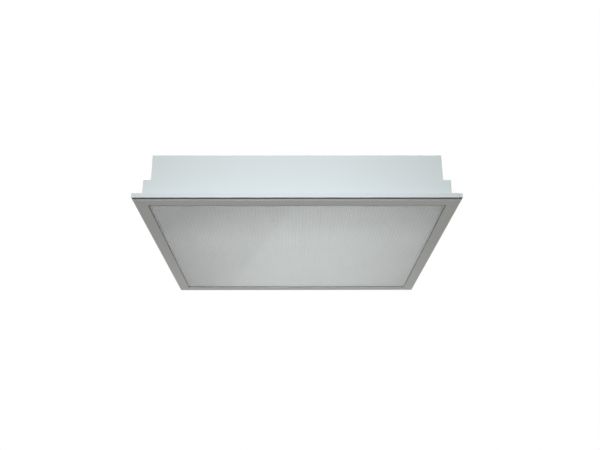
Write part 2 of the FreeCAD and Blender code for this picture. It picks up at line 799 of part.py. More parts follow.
def make_cable_clamp():
    """Saddle that holds the supply cable against the top, with a pegged foot on each side."""
    body = new_body("cable_clamp")
    half_gap = size("clamp_gap") / 2
    shell = size("clamp_wall")
    outside = half_gap + shell
    foot = outside + size("clamp_foot")
    foot_under = top_under - shell
    clamp_under = top_under - size("clamp_depth")
    saddle_under = clamp_under - shell
    chamfer = half_gap * 0.4
    profile = new_sketch(body, "XZ_Plane", -clamp_y)
    outline(profile, [
        (half_gap, top_under),
        (foot, top_under),
        (foot, foot_under),
        (outside, foot_under),
        (outside, saddle_under + chamfer),
        (outside - chamfer, saddle_under),
        (chamfer - outside, saddle_under),
        (-outside, saddle_under + chamfer),
        (-outside, foot_under),
        (-foot, foot_under),
        (-foot, top_under),
        (-half_gap, top_under),
        (-half_gap, clamp_under + chamfer),
        (chamfer - half_gap, clamp_under),
        (half_gap - chamfer, clamp_under),
        (half_gap, clamp_under + chamfer),
    ])
    pad(body, profile, size("clamp_width"), both=True)
    pegs = new_sketch(body, "XY_Plane", top_under)
    for side in (-1, 1):
        box_round(pegs, clamp_peg_x * side, clamp_y, size("peg_length") / 2, size("peg_width") / 2)
    pad(body, pegs, gauge * 2)
    place(body, entry_x, 0, 0)


# Terminal block: each pole has a chamber with a contact, a leaf spring and a release button

def make_terminal_block():
    """Moulded block held by two pegs, with shafts, chambers and wire entries for three poles."""
    body = new_body("terminal_block")
    half_width = size("block_width") / 2
    blank = new_sketch(body, "XY_Plane", block_under)
    box_round(blank, 0, 0, size("block_length") / 2, half_width)
    pad(body, blank, size("block_height"))
    pegs = new_sketch(body, "XY_Plane", top_under)
    for side in (-1, 1):
        box_round(pegs, peg_x * side, 0, size("peg_length") / 2, size("peg_width") / 2)
    pad(body, pegs, gauge * 2)
    shafts = new_sketch(body, "XY_Plane", block_under)
    chambers = new_sketch(body, "XY_Plane", shoulder)
    entries = new_sketch(body, "XZ_Plane", half_width)
    for step in (-1, 0, 1):
        pole = size("pole_spacing") * step
        half_hole = size("wire_hole") / 2
        box_round(shafts, pole, 0, pole_half, shaft_half)
        box_round(chambers, pole, 0, pole_half, chamber_half)
        box_round(entries, pole, wire_z, half_hole, half_hole)
    pocket(body, shafts, shoulder - block_under, back=True)
    pocket(body, chambers, chamber_roof - shoulder, back=True)
    pocket(body, entries, size("block_width"))
    place(body, entry_x, block_y, 0)


def make_terminal_contacts():
    """Brass bar at the roof of each chamber."""
    body = new_body("terminal_contacts")
    profile = new_sketch(body, "XY_Plane", contact_under)
    for step in (-1, 0, 1):
        box_round(profile, size("pole_spacing") * step, 0, button_wide, chamber_half - seat_gap)
    pad(body, profile, chamber_roof - contact_under)
    place(body, entry_x, block_y, 0)


def make_terminal_springs():
    """Folded leaf between each button and its contact."""
    body = new_body("terminal_springs")
    low = collar_top + seat_gap / 2
    high = contact_under - seat_gap / 2
    tip = (low + high) / 2
    thick = size("spring_gauge") * 0.6
    profile = new_sketch(body, "YZ_Plane")
    outline(profile, [
        (-shaft_half, low),
        (shaft_half, tip),
        (-shaft_half, high),
        (-shaft_half, high - thick),
        (shaft_half - thick * 3, tip),
        (-shaft_half, low + thick),
    ])
    pad(body, profile, button_wide * 2, both=True)
    repeat(body, "X_Axis", size("pole_spacing"), 3)
    place(body, entry_x - size("pole_spacing"), block_y, 0)


def make_terminal_button(label, step):
    """Release button: pressed up into the block, it opens the pole's spring."""
    body = new_body(label)
    half_long = shaft_half - size("button_play") / 2
    stem_foot = block_under - size("button_show")
    stem = new_sketch(body, "XY_Plane", stem_foot)
    box_round(stem, 0, 0, button_wide, half_long)
    pad(body, stem, collar_under - stem_foot)
    groove = new_sketch(body, "XY_Plane", stem_foot)
    box_round(groove, 0, 0, button_wide, button_wide / 4)
    pocket(body, groove, size("button_show") / 4, back=True)
    collar = new_sketch(body, "XY_Plane", collar_under)
    box_round(collar, 0, 0, button_wide, half_long + size("button_collar"))
    pad(body, collar, size("button_collar"))
    place(body, entry_x + size("pole_spacing") * step, block_y, 0)


def make_earth_stud():
    """Stud welded under the top."""
    body = new_body("earth_stud")
    profile = new_sketch(body, "XY_Plane", top_under)
    ring(profile, 0, 0, stud_radius)
    pad(body, profile, size("stud_length"), back=True)
    place(body, earth_x, size("earth_y"), 0)


def make_earth_nut():
    body = new_body("earth_nut")
    nut = new_sketch(body, "XY_Plane", tag_under)
    hexagon(nut, 0, 0, stud_radius * 2)
    ring(nut, 0, 0, stud_radius + screw_play)
    pad(body, nut, stud_radius * 1.6, back=True)
    place(body, earth_x, size("earth_y"), 0)


def make_earth_tag():
    """Tag under the top, with the crimp for the earth wire at the end of its tongue."""
    body = new_body("earth_tag")
    half_eye = stud_radius * 2
    plate = new_sketch(body, "XY_Plane", tag_under)
    outline(plate, [
        (half_eye, -half_eye),
        (half_eye, half_eye),
        (-half_eye, half_eye),
        (-half_eye - stud_radius, stud_radius),
        (-tag_reach, stud_radius),
        (-tag_reach, -stud_radius),
        (-half_eye - stud_radius, -stud_radius),
        (-half_eye, -half_eye),
    ])
    ring(plate, 0, 0, stud_radius + screw_play)
    pad(body, plate, size("tag_gauge"))
    crimp = new_sketch(body, "XY_Plane", top_under)
    rectangle(crimp, -tag_reach, -tag_reach + crimp_half * 2, -crimp_half, crimp_half)
    pad(body, crimp, crimp_half * 2, back=True)
    place(body, earth_x, size("earth_y"), 0)


# Wires that the light holds from end to end: straight runs joined by tangent arcs

def wire_path(points, bend_radius):
    """Path through a list of points, its corners rounded to a radius or as far as their runs allow."""
    edges = []
    radii = []
    start = points[0]
    for before, corner, after in zip(points, points[1:], points[2:]):
        incoming, outgoing = corner - before, after - corner
        turn = incoming.getAngle(outgoing)
        room = 0.45 * min(incoming.Length, outgoing.Length)
        radii.append(min(bend_radius, room / math.tan(turn / 2)))
        cut = radii[-1] * math.tan(turn / 2)
        way_in, way_out = incoming.normalize(), outgoing.normalize()
        first, last = corner - way_in * cut, corner + way_out * cut
        inward = (way_out - way_in).normalize()
        middle = corner + inward * (radii[-1] / math.cos(turn / 2) - radii[-1])
        edges.append(Part.LineSegment(start, first).toShape())
        edges.append(Part.Arc(first, middle, last).toShape())
        start = last
    edges.append(Part.LineSegment(start, points[-1]).toShape())
    return Part.Wire(edges), radii


def wire_section(middle, way, diameter):
    """Hexagonal face square to the wire's way; its flats are a wire's diameter apart."""
    aside = Vector(0, 0, 1).cross(way).normalize()
    above = way.cross(aside)
    corner = diameter / math.sqrt(3)
    corners = []
    for step in range(6):
        turn = math.radians(60 * step)
        corners.append(middle + (aside * math.cos(turn) + above * math.sin(turn)) * corner)
    return Part.Face(Part.makePolygon(corners + corners[:1]))


def wire_solid(points, diameter):
    """Wire along a path, checked against the path's length."""
    path, radii = wire_path(points, diameter * 5)
    section = wire_section(points[0], (points[1] - points[0]).normalize(), diameter)
    tube = path.makePipe(section)
    if abs(tube.Volume / (path.Length * section.Area) - 1) > 0.02:
        raise ValueError("a wire's volume doesn't match its length")
    return tube, radii


def make_wires(label, routes, diameter):
    feature = doc.addObject("Part::Feature", label)
    feature.Label = label
    solids = []
    for route in routes:
        tube, radii = wire_solid(route, diameter)
        solids.append(tube)
        print(label, "bend radii", [round(radius, 1) for radius in radii])
    feature.Shape = Part.makeCompound(solids) if len(solids) > 1 else solids[0]
    sub_parts.append(feature)


def points_at(*places):
    return [Vector(*(as_size(number).value for number in spot)) for spot in places]


def make_mains_wires():
    """Live and neutral to the driver's mains end, and earth to its tag."""
    pole = size("pole_spacing")
    lane = size("lead_spacing")
    start_y = block_y + size("block_width") / 2 - size("wire_insertion")
    for label, x, inlet_y in (
        ("live_wire", entry_x - pole, row_y - lane),
        ("neutral_wire", entry_x, row_y + lane),
    ):
        way = inlet_y - start_y
        make_wires(label, [points_at(
            (x, start_y, wire_z),
            (x, start_y + way * 0.28, wire_z),
            (x, start_y + way * 0.7, driver_middle_z),
            (x, inlet_y, driver_middle_z),
            (driver_end, inlet_y, driver_middle_z),
        )], size("wire_size").value)
    earth_pole = entry_x + pole
    tag_end = earth_x - tag_reach
    tag_z = top_under - crimp_half
    earth_y = size("earth_y")
    make_wires("earth_wire", [points_at(
        (earth_pole, start_y, wire_z),
        (earth_pole, (start_y + earth_y) / 2, wire_z),
        ((earth_pole * 2 + tag_end) / 3, earth_y, tag_z),
        (tag_end, earth_y, tag_z),
    )], size("wire_size").value)


def make_light_leads():
    """Red and black leads: driver to the first board, and from board to board."""
    outlet_x = -driver_end
    lead_z = board_under - size("socket_height") / 2
    crossing_z = driver_middle_z + size("socket_height")
    first_socket = board_x[0] - socket_out
    for label, side in (("red_leads", -1), ("black_leads", 1)):
        wide = row_y + size("lead_spacing") * side
        close = row_y + size("lead_spacing") / 2 * side
        routes = [points_at(
            (outlet_x, wide, crossing_z),
            ((outlet_x + lead_hole_x) / 2, wide, crossing_z),
            (lead_hole_x, close, crossing_z),
            (lead_hole_x, close, lead_z),
            (first_socket, close, lead_z),
        )]
        for left, right in zip(board_x, board_x[1:]):
            routes.append(points_at(
                (left + socket_out, close, lead_z),
                (right - socket_out, close, lead_z),
            ))
        make_wires(label, routes, size("lead_size").value)


# Door

def make_door_rail(label, turn, hinged=False):
    """Mitred rail: face, solid rim, lip for the diffuser, and an open screw channel."""
    body = new_body(label)
    lip_inside = opening + size("lip_width")
    section = new_sketch(body, "YZ_Plane")
    outline(section, [
        (opening, 0),
        (door_edge, 0),
        (door_edge, size("rim_height")),
        (rim_inside, size("rim_height")),
        (rim_inside, face),
        (channel_out, face),
        (channel_out, channel_top),
        (channel_out - face, channel_top),
        (channel_out - face, face),
        (channel_in + face, face),
        (channel_in + face, channel_top),
        (channel_in, channel_top),
        (channel_in, face),
        (lip_inside, face),
        (lip_inside, diffuser_under),
        (opening, diffuser_under),
    ])
    pad(body, section, door_edge * 2, both=True)
    round_edges(body, size("rim_round"), lambda middle, along: (
        near(abs(along.x), 1) and near(middle.y, door_edge.value) and near(middle.z, 0)))
    mitres = new_sketch(body, "XY_Plane")
    inner, outer = opening - face, door_edge + face
    for side in (-1, 1):
        outline(mitres, [(inner * side, inner), (outer * side, outer), (outer * side, inner)])
    pocket(body, mitres, channel_top * 2, back=True)
    if hinged:
        notches = new_sketch(body, "XY_Plane", face)
        half_notch = pin_half + size("ear_play")
        notch_in = rim_inside - size("ear_play")
        for side in (-1, 1):
            middle = hinge_x * side
            rectangle(notches, middle - half_notch, middle + half_notch, notch_in, outer)
        pocket(body, notches, size("rim_height"), back=True)
    place(body, 0, 0, 0, turn)


def make_corner_angles():
    """Angle in the channel at each mitred corner, which holds two rails together."""
    body = new_body("corner_angles")
    outside = channel_out - face - size("angle_play")
    inside = channel_in + face + size("angle_play")
    end = outside - size("angle_leg")
    profile = new_sketch(body, "XY_Plane", face)
    outline(profile, [
        (outside, outside),
        (end, outside),
        (end, inside),
        (inside, inside),
        (inside, end),
        (outside, end),
    ])
    angle = pad(body, profile, channel_top - face * 2)
    repeat_around(body, [angle], 4)


def make_diffuser_panel():
    """Clear acrylic sheet with prisms on its lower face, lying on the rails' lips."""
    body = new_body("diffuser_panel")
    half = channel_in - size("diffuser_play")
    blank = new_sketch(body, "XY_Plane", diffuser_under)
    box_round(blank, 0, 0, half, half)
    pad(body, blank, size("diffuser_gauge"))
    round_edges(body, size("diffuser_play") * 2, lambda middle, along: near(abs(along.z), 1))


def make_diffuser_clips():
    """Clips hooked over the rails' inner webs, two to a side, whose tongues keep the panel down."""
    body = new_body("diffuser_clips")
    thick = size("clip_gauge")
    hook = channel_in + face
    hook_foot = channel_top - size("clip_reach") / 2
    tongue_under = diffuser_top + seat_gap
    tongue = channel_in - size("clip_reach")
    sections = []
    for side in (-1, 1):
        section = new_sketch(body, "YZ_Plane", size("clip_spacing") / 2 * side)
        outline(section, [
            (hook + thick, hook_foot),
            (hook + thick, channel_top + thick),
            (channel_in - thick, channel_top + thick),
            (channel_in - thick, tongue_under + thick),
            (tongue, tongue_under + thick),
            (tongue, tongue_under),
            (channel_in, tongue_under),
            (channel_in, channel_top),
            (hook, channel_top),
            (hook, hook_foot),
        ])
        sections.append(pad(body, section, size("clip_width"), both=True))
    repeat_around(body, sections, 4)


def make_door_buffers():
    """Rubber pads on the rails that meet the flange without a rattle."""
    body = new_body("door_buffers")
    profile = new_sketch(body, "XY_Plane", channel_top)
    half_width = (channel_out - channel_in) / 2
    for side in (-1, 1):
        box_round(profile, size("buffer_spacing") / 2 * side, channel_middle,
                  size("buffer_length") / 2, half_width)
    pads = pad(body, profile, flange_under - channel_top - seat_gap)
    repeat_around(body, [pads], 4)


# Hinges

def make_hinge_eye(label, x):
    """Strap spot-welded under the rear flange, with its eye round the hinge pin."""
    body = new_body(label)
    back = axis_y + eye_radius
    strap = new_sketch(body, "YZ_Plane")
    outline(strap, [
        (channel_in, flange_under - leaf),
        (back - leaf, flange_under - leaf),
        (back - leaf, axis_z),
        (back, axis_z),
        (back, flange_under),
        (channel_in, flange_under),
    ])
    pad(body, strap, size("eye_width"), both=True)
    eye = new_sketch(body, "YZ_Plane")
    ring(eye, axis_y, axis_z, eye_radius)
    pad(body, eye, size("eye_width"), both=True)
    bore = new_sketch(body, "YZ_Plane", size("eye_width"))
    ring(bore, axis_y, axis_z, eye_bore)
    pocket(body, bore, size("eye_width") * 2)
    place(body, x, 0, 0)


def make_hinge_leaf(label, x):
    """Leaf screwed down on the rear rail's channel, with an ear each side of the housing's eye."""
    body = new_body(label)
    half = ear_outside + size("leaf_side")
    ear_corner = eye_radius * math.tan(math.radians(22.5))
    ear_top = channel_top + leaf * 2
    plate = new_sketch(body, "XY_Plane", channel_top)
    rectangle(plate, -half, half, channel_in, channel_out)
    for side in (-1, 1):
        ring(plate, leaf_screw_x * side, channel_middle, size("door_screw") / 2 + screw_play)
    pad(body, plate, leaf)
    ear = new_sketch(body, "YZ_Plane", -ear_outside)
    outline(ear, [
        (channel_in, channel_top),
        (channel_out, channel_top),
        (channel_out, axis_z - eye_radius),
        (axis_y + ear_corner, axis_z - eye_radius),
        (axis_y + eye_radius, axis_z - ear_corner),
        (axis_y + eye_radius, axis_z + ear_corner),
        (axis_y + ear_corner, axis_z + eye_radius),
        (channel_out, ear_top),
        (channel_in, ear_top),
    ])
    pad(body, ear, ear_outside * 2)
    between = new_sketch(body, "XY_Plane", ear_top)
    rectangle(between, -ear_inside, ear_inside, channel_out, door_edge)
    pocket(body, between, ear_top)
    ribs = new_sketch(body, "XY_Plane", ear_top)
    rectangle(ribs, -ear_inside, ear_inside, channel_in, channel_out)
    pocket(body, ribs, leaf)
    bore = new_sketch(body, "YZ_Plane", ear_outside * 2)
    ring(bore, axis_y, axis_z, pin_radius + size("pin_fit"))
    pocket(body, bore, ear_outside * 4)
    place(body, x, 0, 0)


def make_hinge_pin(label, x):
    body = new_body(label)
    section = new_sketch(body, "YZ_Plane")
    ring(section, axis_y, axis_z, pin_radius)
    pad(body, section, pin_half * 2, both=True)
    place(body, x, 0, 0)


# Catches

def make_strike(label, x):
    """Strike screwed on the front rail's channel: a foot, an upright and a hook."""
    body = new_body(label)
    foot_top = channel_top + leaf
    strike_top = size("strike_height")
    section = new_sketch(body, "YZ_Plane")
    outline(section, [
        (channel_out, channel_top),
        (channel_out, foot_top),
        (strike_upright + leaf, foot_top),
        (strike_upright + leaf, strike_top - leaf),
        (hook_out - leaf, strike_top - leaf),
        (hook_out - leaf, hook_tip),
        (hook_out, hook_tip),
        (hook_out, strike_top),
        (strike_upright, strike_top),
        (strike_upright, channel_top),
    ])
    pad(body, section, size("strike_width"), both=True)
    hole = new_sketch(body, "XY_Plane", foot_top)
    ring(hole, 0, channel_middle, size("door_screw") / 2 + screw_play)
    pocket(body, hole, leaf * 2)
    place(body, x, 0, 0, 180)


def make_catch_spring(label, x):
    """Leaf spring welded inside the front wall, whose nose stands under the strike's hook."""
    body = new_body(label)
    thick = size("spring_gauge")
    near_wall = wall_inside - thick
    nose_z = hook_tip - size("catch_hold") * size("spring_flank") - seat_gap
    foot_z = nose_z - size("spring_bulge") * size("spring_flank")
    knee_z = nose_z + (size("spring_bulge") - thick) * size("spring_flank")
    head_z = knee_z + size("spring_head")
    section = new_sketch(body, "YZ_Plane")
    outline(section, [
        (wall_inside, head_z),
        (wall_inside, knee_z),
        (spring_nose + thick, nose_z),
        (wall_inside - seat_gap, foot_z),
        (near_wall - seat_gap, foot_z),
        (spring_nose, nose_z),
        (near_wall, knee_z),
        (near_wall, head_z),
    ])
    pad(body, section, size("spring_width"), both=True)
    place(body, x, 0, 0, 180)


make_housing_body()
make_end_plate("front_end_plate", 180)
make_end_plate("rear_end_plate", 0)
make_gear_tray()
make_push_clips(
    "gear_tray_clips", [-tray_clip_x, tray_clip_x], -tray_clip_y, tray_clip_y * 2, 2,
    tray_lip_under, step_top)
make_lead_grommet()
for number, x in enumerate(board_x, start=1):
    make_light_board(number, x)
make_light_chips()
make_push_clips(
    "light_board_clips", board_x, board_clip_y[0], chip_pitch * pitches_to_clip,
    len(board_clip_y), board_under, tray_top)
make_board_sockets()
make_driver_case()
make_driver_covers()
make_screws(
    "driver_screws",
    [(foot_screw_x * side, row_y) for side in (-1, 1)],
    driver_floor, size("foot_screw"), size("driver_base") + gauge + size("foot_screw") / 2)
make_cable_grommet()
make_cable_clamp()
make_terminal_block()
make_terminal_contacts()
make_terminal_springs()
for label, step in (("live_button", -1), ("neutral_button", 0), ("earth_button", 1)):
    make_terminal_button(label, step)
make_earth_stud()
make_earth_nut()
make_earth_tag()
make_mains_wires()
make_light_leads()
make_door_rail("door_rail_rear", 0, hinged=True)
make_door_rail("door_rail_front", 180)
make_door_rail("door_rail_left", 90)
make_door_rail("door_rail_right", -90)
make_corner_angles()
make_diffuser_panel()
make_diffuser_clips()
make_door_buffers()
for side, x in (("left", -hinge_x), ("right", hinge_x)):
    make_hinge_eye(f"hinge_eye_{side}", x)
    make_hinge_leaf(f"hinge_leaf_{side}", x)
    make_hinge_pin(f"hinge_pin_{side}", x)
for side, x in (("left", -catch_x), ("right", catch_x)):
    make_strike(f"strike_{side}", x)
    make_catch_spring(f"catch_spring_{side}", x)
hinge_spots = [(hinge_x * side + leaf_screw_x * end, channel_middle) for side in (-1, 1) for end in (-1, 1)]
strike_spots = [(catch_x * side, -channel_middle) for side in (-1, 1)]
make_screws(
    "door_screws", hinge_spots + strike_spots,
    channel_top + leaf, size("door_screw"), size("door_screw_length"))

doc.recompute()
for item in doc.Objects:
    if "Invalid" in item.State or "Error" in item.State:
        raise ValueError(f"{item.Label} failed: {item.State}")
for part in sub_parts:
    if part.Shape.isNull() or not part.Shape.isValid() or not part.Shape.Solids:
        raise ValueError(f"{part.Label} has no valid solid")

os.makedirs("parts", exist_ok=True)
for part in sub_parts:
    part.Shape.exportStep(os.path.join("parts", f"{part.Label}.step"))
    print(part.Label, len(part.Shape.Solids), round(part.Shape.Volume))
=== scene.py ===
import json
import math

import bmesh
import bpy
from mathutils import Matrix, Vector


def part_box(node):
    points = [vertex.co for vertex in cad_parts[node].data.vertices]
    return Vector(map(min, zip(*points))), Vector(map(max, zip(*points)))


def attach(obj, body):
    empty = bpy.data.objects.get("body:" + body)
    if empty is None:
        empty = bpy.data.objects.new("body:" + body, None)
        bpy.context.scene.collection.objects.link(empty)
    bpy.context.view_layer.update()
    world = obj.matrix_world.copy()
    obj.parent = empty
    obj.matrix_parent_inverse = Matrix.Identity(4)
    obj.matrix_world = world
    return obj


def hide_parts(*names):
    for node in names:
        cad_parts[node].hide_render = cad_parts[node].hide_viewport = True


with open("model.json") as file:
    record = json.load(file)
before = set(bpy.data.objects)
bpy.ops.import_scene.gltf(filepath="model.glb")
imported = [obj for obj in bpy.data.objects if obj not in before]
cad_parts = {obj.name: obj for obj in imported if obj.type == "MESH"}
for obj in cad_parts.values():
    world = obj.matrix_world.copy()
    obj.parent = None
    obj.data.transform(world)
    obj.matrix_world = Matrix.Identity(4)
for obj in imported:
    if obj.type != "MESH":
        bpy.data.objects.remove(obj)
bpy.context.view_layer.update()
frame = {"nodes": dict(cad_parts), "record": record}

MM = 0.001
SQUARELY = 0.9  # share of a face's normal from which the face looks along an axis

# Camera: below and in front of the light, looking up at it
CAMERA_PLACE = Vector((-5.5, -1480.4, -500.6)) * MM
CAMERA_YAW, CAMERA_PITCH, CAMERA_ROLL = (math.radians(angle) for angle in (0.49, 20.926, -0.213))
FOCAL_PIXELS, PICTURE_WIDTH, SENSOR_WIDTH = 717.1, 600, 36

# Background and floor: metres, shades and strengths. SEEN is what the camera and reflections see,
# the rest is what lights the object.
WORLD_FILL, WORLD_SEEN = 0.32, 1.0
FLOOR_SIZE, FLOOR_DROP = 24, 2.4
FLOOR_SHADE = (0.55, 0.55, 0.55)
FLOOR_SHADE_SEEN = (0.86, 0.86, 0.86)
FLOOR_GLOW_SEEN = 0.55

# Colours, linear
# Housing paint: white with a blue cast, the cast a painted tint of the cool light on it
HOUSING_WHITE = (0.75, 0.81, 0.83)
# Door paint: a pale grey, set darker than the housing partly as painted shade
DOOR_WHITE = (0.53, 0.53, 0.505)
TRAY_WHITE = (0.83, 0.83, 0.81)
ACRYLIC = (0.97, 1.0, 0.99)
DUST = (0.46, 0.44, 0.40)
# Painted shade on the door: its outer rim, the channel behind the rim and its inner lip
RIM_SHADE = (0.22, 0.25, 0.27)
CHANNEL_SHADE = (0.05, 0.05, 0.05)
LIP_SHADE = (0.16, 0.16, 0.155)
JOINT_DIRT = (0.22, 0.21, 0.19)
WELD_DULL = (0.4, 0.4, 0.4)
SOLDER_MASK = (0.80, 0.82, 0.79)
COVERED_COPPER = (0.66, 0.70, 0.64)
TINNED_PAD = (0.55, 0.56, 0.57)

# Diffuser: diagonal and depth of a prism in mm, and the prisms along one side of the turned field
PRISM_DIAGONAL = 6.886
PRISM_DEPTH = 1.6
PRISM_CELLS = 167

# Door frame, mm from the middle of the light
DOOR_OPENING = 272
DOOR_EDGE = 295
DOOR_CHANNEL = (286.5, 293.6)

# Spot welds of the end plates, mm: in the top, above TOP_LEVEL, and in the side walls, beyond
# SIDE_WALL; both lie WELD_LINE in front of the middle and behind it
TOP_LEVEL = 90
SIDE_WALL = 280.5
WELD_LINE = 275
TOP_WELD_PITCH = 200
SIDE_WELD_HEIGHT = 28.6
WELD_RADIUS = 3.2

# Light boards, mm; tracks, their links and pads are measured from the middle of a chip
BOARD_PITCH = 130
BOARD_ROWS = [BOARD_PITCH * (step - 1.5) for step in range(4)]
BOARD_UNDERSIDE = 56.8
BOARD_TRACK = (4.6, 8.9)
LINK_HALF_WIDTH, LINK_START = 1.1, 3
PAD_HALF_WIDTH, PAD_HALF_LENGTH = 2.0, 2.6

# Light chips, mm
CHIP_PITCH = 29.5
CHIP_PLACES = [CHIP_PITCH * (step + 0.5) for step in range(-9, 9)]
CHIP_SIZE = (2.8, 3.5, 0.7)
CHIP_CORNER = 0.25
CHIP_RIM = 0.35
CUP_DEPTH = 0.3
CUP_NARROWING = (0.82, 0.86, 1)
PHOSPHOR_SIZE = (1.7, 2.35, 0.22)
PHOSPHOR_EDGE = 0.3
PHOSPHOR_DOME = 0.05

# Wire sockets of the boards, mm
SOCKET_ROW = 200
SOCKET_ASIDE = 6.75
SOCKET_SIZE = (6.5, 10, 4)
SOCKET_REACH = SOCKET_ASIDE + SOCKET_SIZE[0] / 2
SOCKET_LEVEL = BOARD_UNDERSIDE - SOCKET_SIZE[2] / 2
SOCKET_CORNER = 0.4
PORT_WALL, PORT_DEPTH = 0.7, 1.6
RELEASE_WALL, RELEASE_DEPTH = 1.3, 0.6

# Wires and leads, mm
WIRE_SIZE = 2.0
LEAD_SIZE = 1.4
LIVE_ROUTE = [
    (176, 69, 88.2), (176, 104.84, 88.2), (176, 158.6, 72.2), (176, 197, 72.2), (132, 197, 72.2)]
NEUTRAL_ROUTE = [
    (185, 69, 88.2), (185, 106.52, 88.2), (185, 162.8, 72.2), (185, 203, 72.2), (132, 203, 72.2)]
EARTH_ROUTE = [(194, 69, 88.2), (194, 82, 88.2), (201.33, 95, 93.4), (216, 95, 93.4)]
DRIVER_END = -132
DRIVER_LEAD_LEVEL = 76.2
DRIVER_LEAD_ASIDE = 3
LEAD_BEND = -179
LEAD_HOLE = -226
BOARD_LEAD_ASIDE = 1.5
LEAD_SAG = 2.2

# Screws, mm: places, levels of their seats, and (size, length) of heads and shanks
HINGE_PLACES = (-200, 200)
HINGE_SCREW_ASIDE = 10.9
STRIKE_PLACES = (-180, 180)
RAIL_SCREW_LINE = 287.3
RAIL_SCREW_SEAT = 10.8
RAIL_SCREW_HEAD, RAIL_SCREW_SHANK = (4.7, 1.25), (2.4, 5.9)
FOOT_SCREW_PLACES = (-136.4, 136.4)
FOOT_SCREW_LINE = 200
FOOT_SCREW_SEAT = 60.2
FOOT_SCREW_HEAD, FOOT_SCREW_SHANK = (7.5, 2.0), (3.9, 3.7)

# Screws, shares of the head's height or size, and of the thread's width
HEAD_CHAMFER = 0.2
RECESS_LENGTH, RECESS_WIDTH, RECESS_DEPTH = 0.55, 0.13, 1.1
THREAD_RINGS = 8
THREAD_NARROWING = 0.82


# Nodes

class Nodes:
    """Adds nodes to a material or a group and joins them."""

    def __init__(self, tree):
        self.tree = tree

    def feed(self, socket, value):
        """Joins a socket to another one, or sets its value."""
        if isinstance(value, bpy.types.NodeSocket):
            self.tree.links.new(value, socket)
        elif socket.type == "RGBA" and len(value) == 3:
            socket.default_value = (*value, 1)
        else:
            socket.default_value = value

    def add(self, kind, inputs=(), **settings):
        node = self.tree.nodes.new(kind)
        for name, value in settings.items():
            setattr(node, name, value)
        for name, value in dict(inputs).items():
            self.feed(node.inputs[name], value)
        return node

    def maths(self, operation, *values):
        """Result of one Math node."""
        node = self.add("ShaderNodeMath", operation=operation)
        for socket, value in zip(node.inputs, values):
            self.feed(socket, value)
        return node.outputs[0]

    def ramp(self, value, start, end, low=0.0, high=1.0):
        """Smooth step of a value between two limits."""
        node = self.add("ShaderNodeMapRange", interpolation_type="SMOOTHSTEP", clamp=True, inputs={
            "Value": value, "From Min": start, "From Max": end, "To Min": low, "To Max": high})
        return node.outputs["Result"]

    def beyond(self, place, limit, soft):
        """Mask past a limit, with a soft edge outside it; in mm."""
        return self.ramp(place, limit * MM, (limit + soft) * MM)

    def within(self, place, limit, soft):
        """Mask up to a limit, with a soft edge inside it; in mm."""
        return self.ramp(place, (limit - soft) * MM, limit * MM, 1.0, 0.0)

    def both(self, first, second):
        """Where two masks overlap."""
        return self.maths("MULTIPLY", first, second)

    def band(self, place, limits, soft):
        """Mask between two limits, with soft edges inside them; in mm."""
        start, end = limits
        return self.both(self.beyond(place, start, soft), self.within(place, end, soft))

    def from_nearest(self, place, pitch):
        """Distance from the nearest of many lines that start half a pitch, in mm, off the middle."""
        half = pitch / 2 * MM
        return self.maths("SUBTRACT", half, self.maths("PINGPONG", place, half))

    def mix(self, share, first, second):
        """Colour between two colours."""
        node = self.add("ShaderNodeMix", data_type="RGBA")
        self.feed(node.inputs[0], share)
        self.feed(node.inputs[6], first)
        self.feed(node.inputs[7], second)
        return node.outputs[2]

    def tint(self, shade, mask, strength, colour):
        """Colour laid over a shade where the mask is."""
        return self.mix(self.maths("MULTIPLY", mask, strength), shade, colour)

    def brighten(self, shade, factor):
        """Shade made lighter or darker by a factor."""
        node = self.add("ShaderNodeHueSaturation", inputs={"Color": shade, "Value": factor})
        return node.outputs[0]

    def place(self):
        """Place on the object, in its own coordinates."""
        return self.add("ShaderNodeTexCoord").outputs["Object"]

    def stretched(self, scale):
        """Place on the object, multiplied by a factor along each axis."""
        node = self.add("ShaderNodeMapping", inputs={"Vector": self.place(), "Scale": scale})
        return node.outputs[0]

    def axes(self, vector):
        return self.add("ShaderNodeSeparateXYZ", inputs={"Vector": vector}).outputs

    def facing(self):
        """How far a face looks along x, y and z."""
        return self.axes(self.add("ShaderNodeTexCoord").outputs["Normal"])

    def noise(self, scale, detail, roughness=0.5, place=None):
        """Cloudy noise over the object, or over other coordinates that are given."""
        if place is None:
            place = self.place()
        node = self.add("ShaderNodeTexNoise", inputs={
            "Vector": place, "Scale": scale, "Detail": detail, "Roughness": roughness})
        return node.outputs["Fac"]

    def bump(self, height, distance, strength):
        """Relief of a height from 0 to 1; the distance is in mm."""
        node = self.add("ShaderNodeBump", inputs={
            "Height": height, "Distance": distance * MM, "Strength": strength})
        return node.outputs[0]

    def use(self, group, **inputs):
        """A shared effect, with its own values here."""
        node = self.add("ShaderNodeGroup", node_tree=group)
        for name, value in inputs.items():
            self.feed(node.inputs[name.capitalize()], value)
        return node.outputs


def new_group(name, inputs, outputs):
    """Shader node group; inputs and outputs are (name, kind, default) and (name, kind)."""
    tree = bpy.data.node_groups.new(name, "ShaderNodeTree")
    for label, kind, default in inputs:
        socket = tree.interface.new_socket(label, in_out="INPUT", socket_type=f"NodeSocket{kind}")
        socket.default_value = default
    for label, kind in outputs:
        tree.interface.new_socket(label, in_out="OUTPUT", socket_type=f"NodeSocket{kind}")
    nodes = Nodes(tree)
    return tree, nodes, nodes.add("NodeGroupInput").outputs, nodes.add("NodeGroupOutput").inputs


def make_orange_peel():
    """Fine ripple of a baked powder coat, over a broader one."""
    broad_scale, broad_height = 0.22, 1.6
    tree, nodes, given, result = new_group(
        "orange_peel", [("Size", "Float", 0.0012)], [("Height", "Float")])
    scale = nodes.maths("DIVIDE", 1.0, given["Size"])
    fine = nodes.noise(scale, 1.0)
    broad = nodes.noise(nodes.maths("MULTIPLY", scale, broad_scale), 1.0)
    nodes.feed(result["Height"], nodes.maths("MULTIPLY_ADD", broad, broad_height, fine))
    return tree


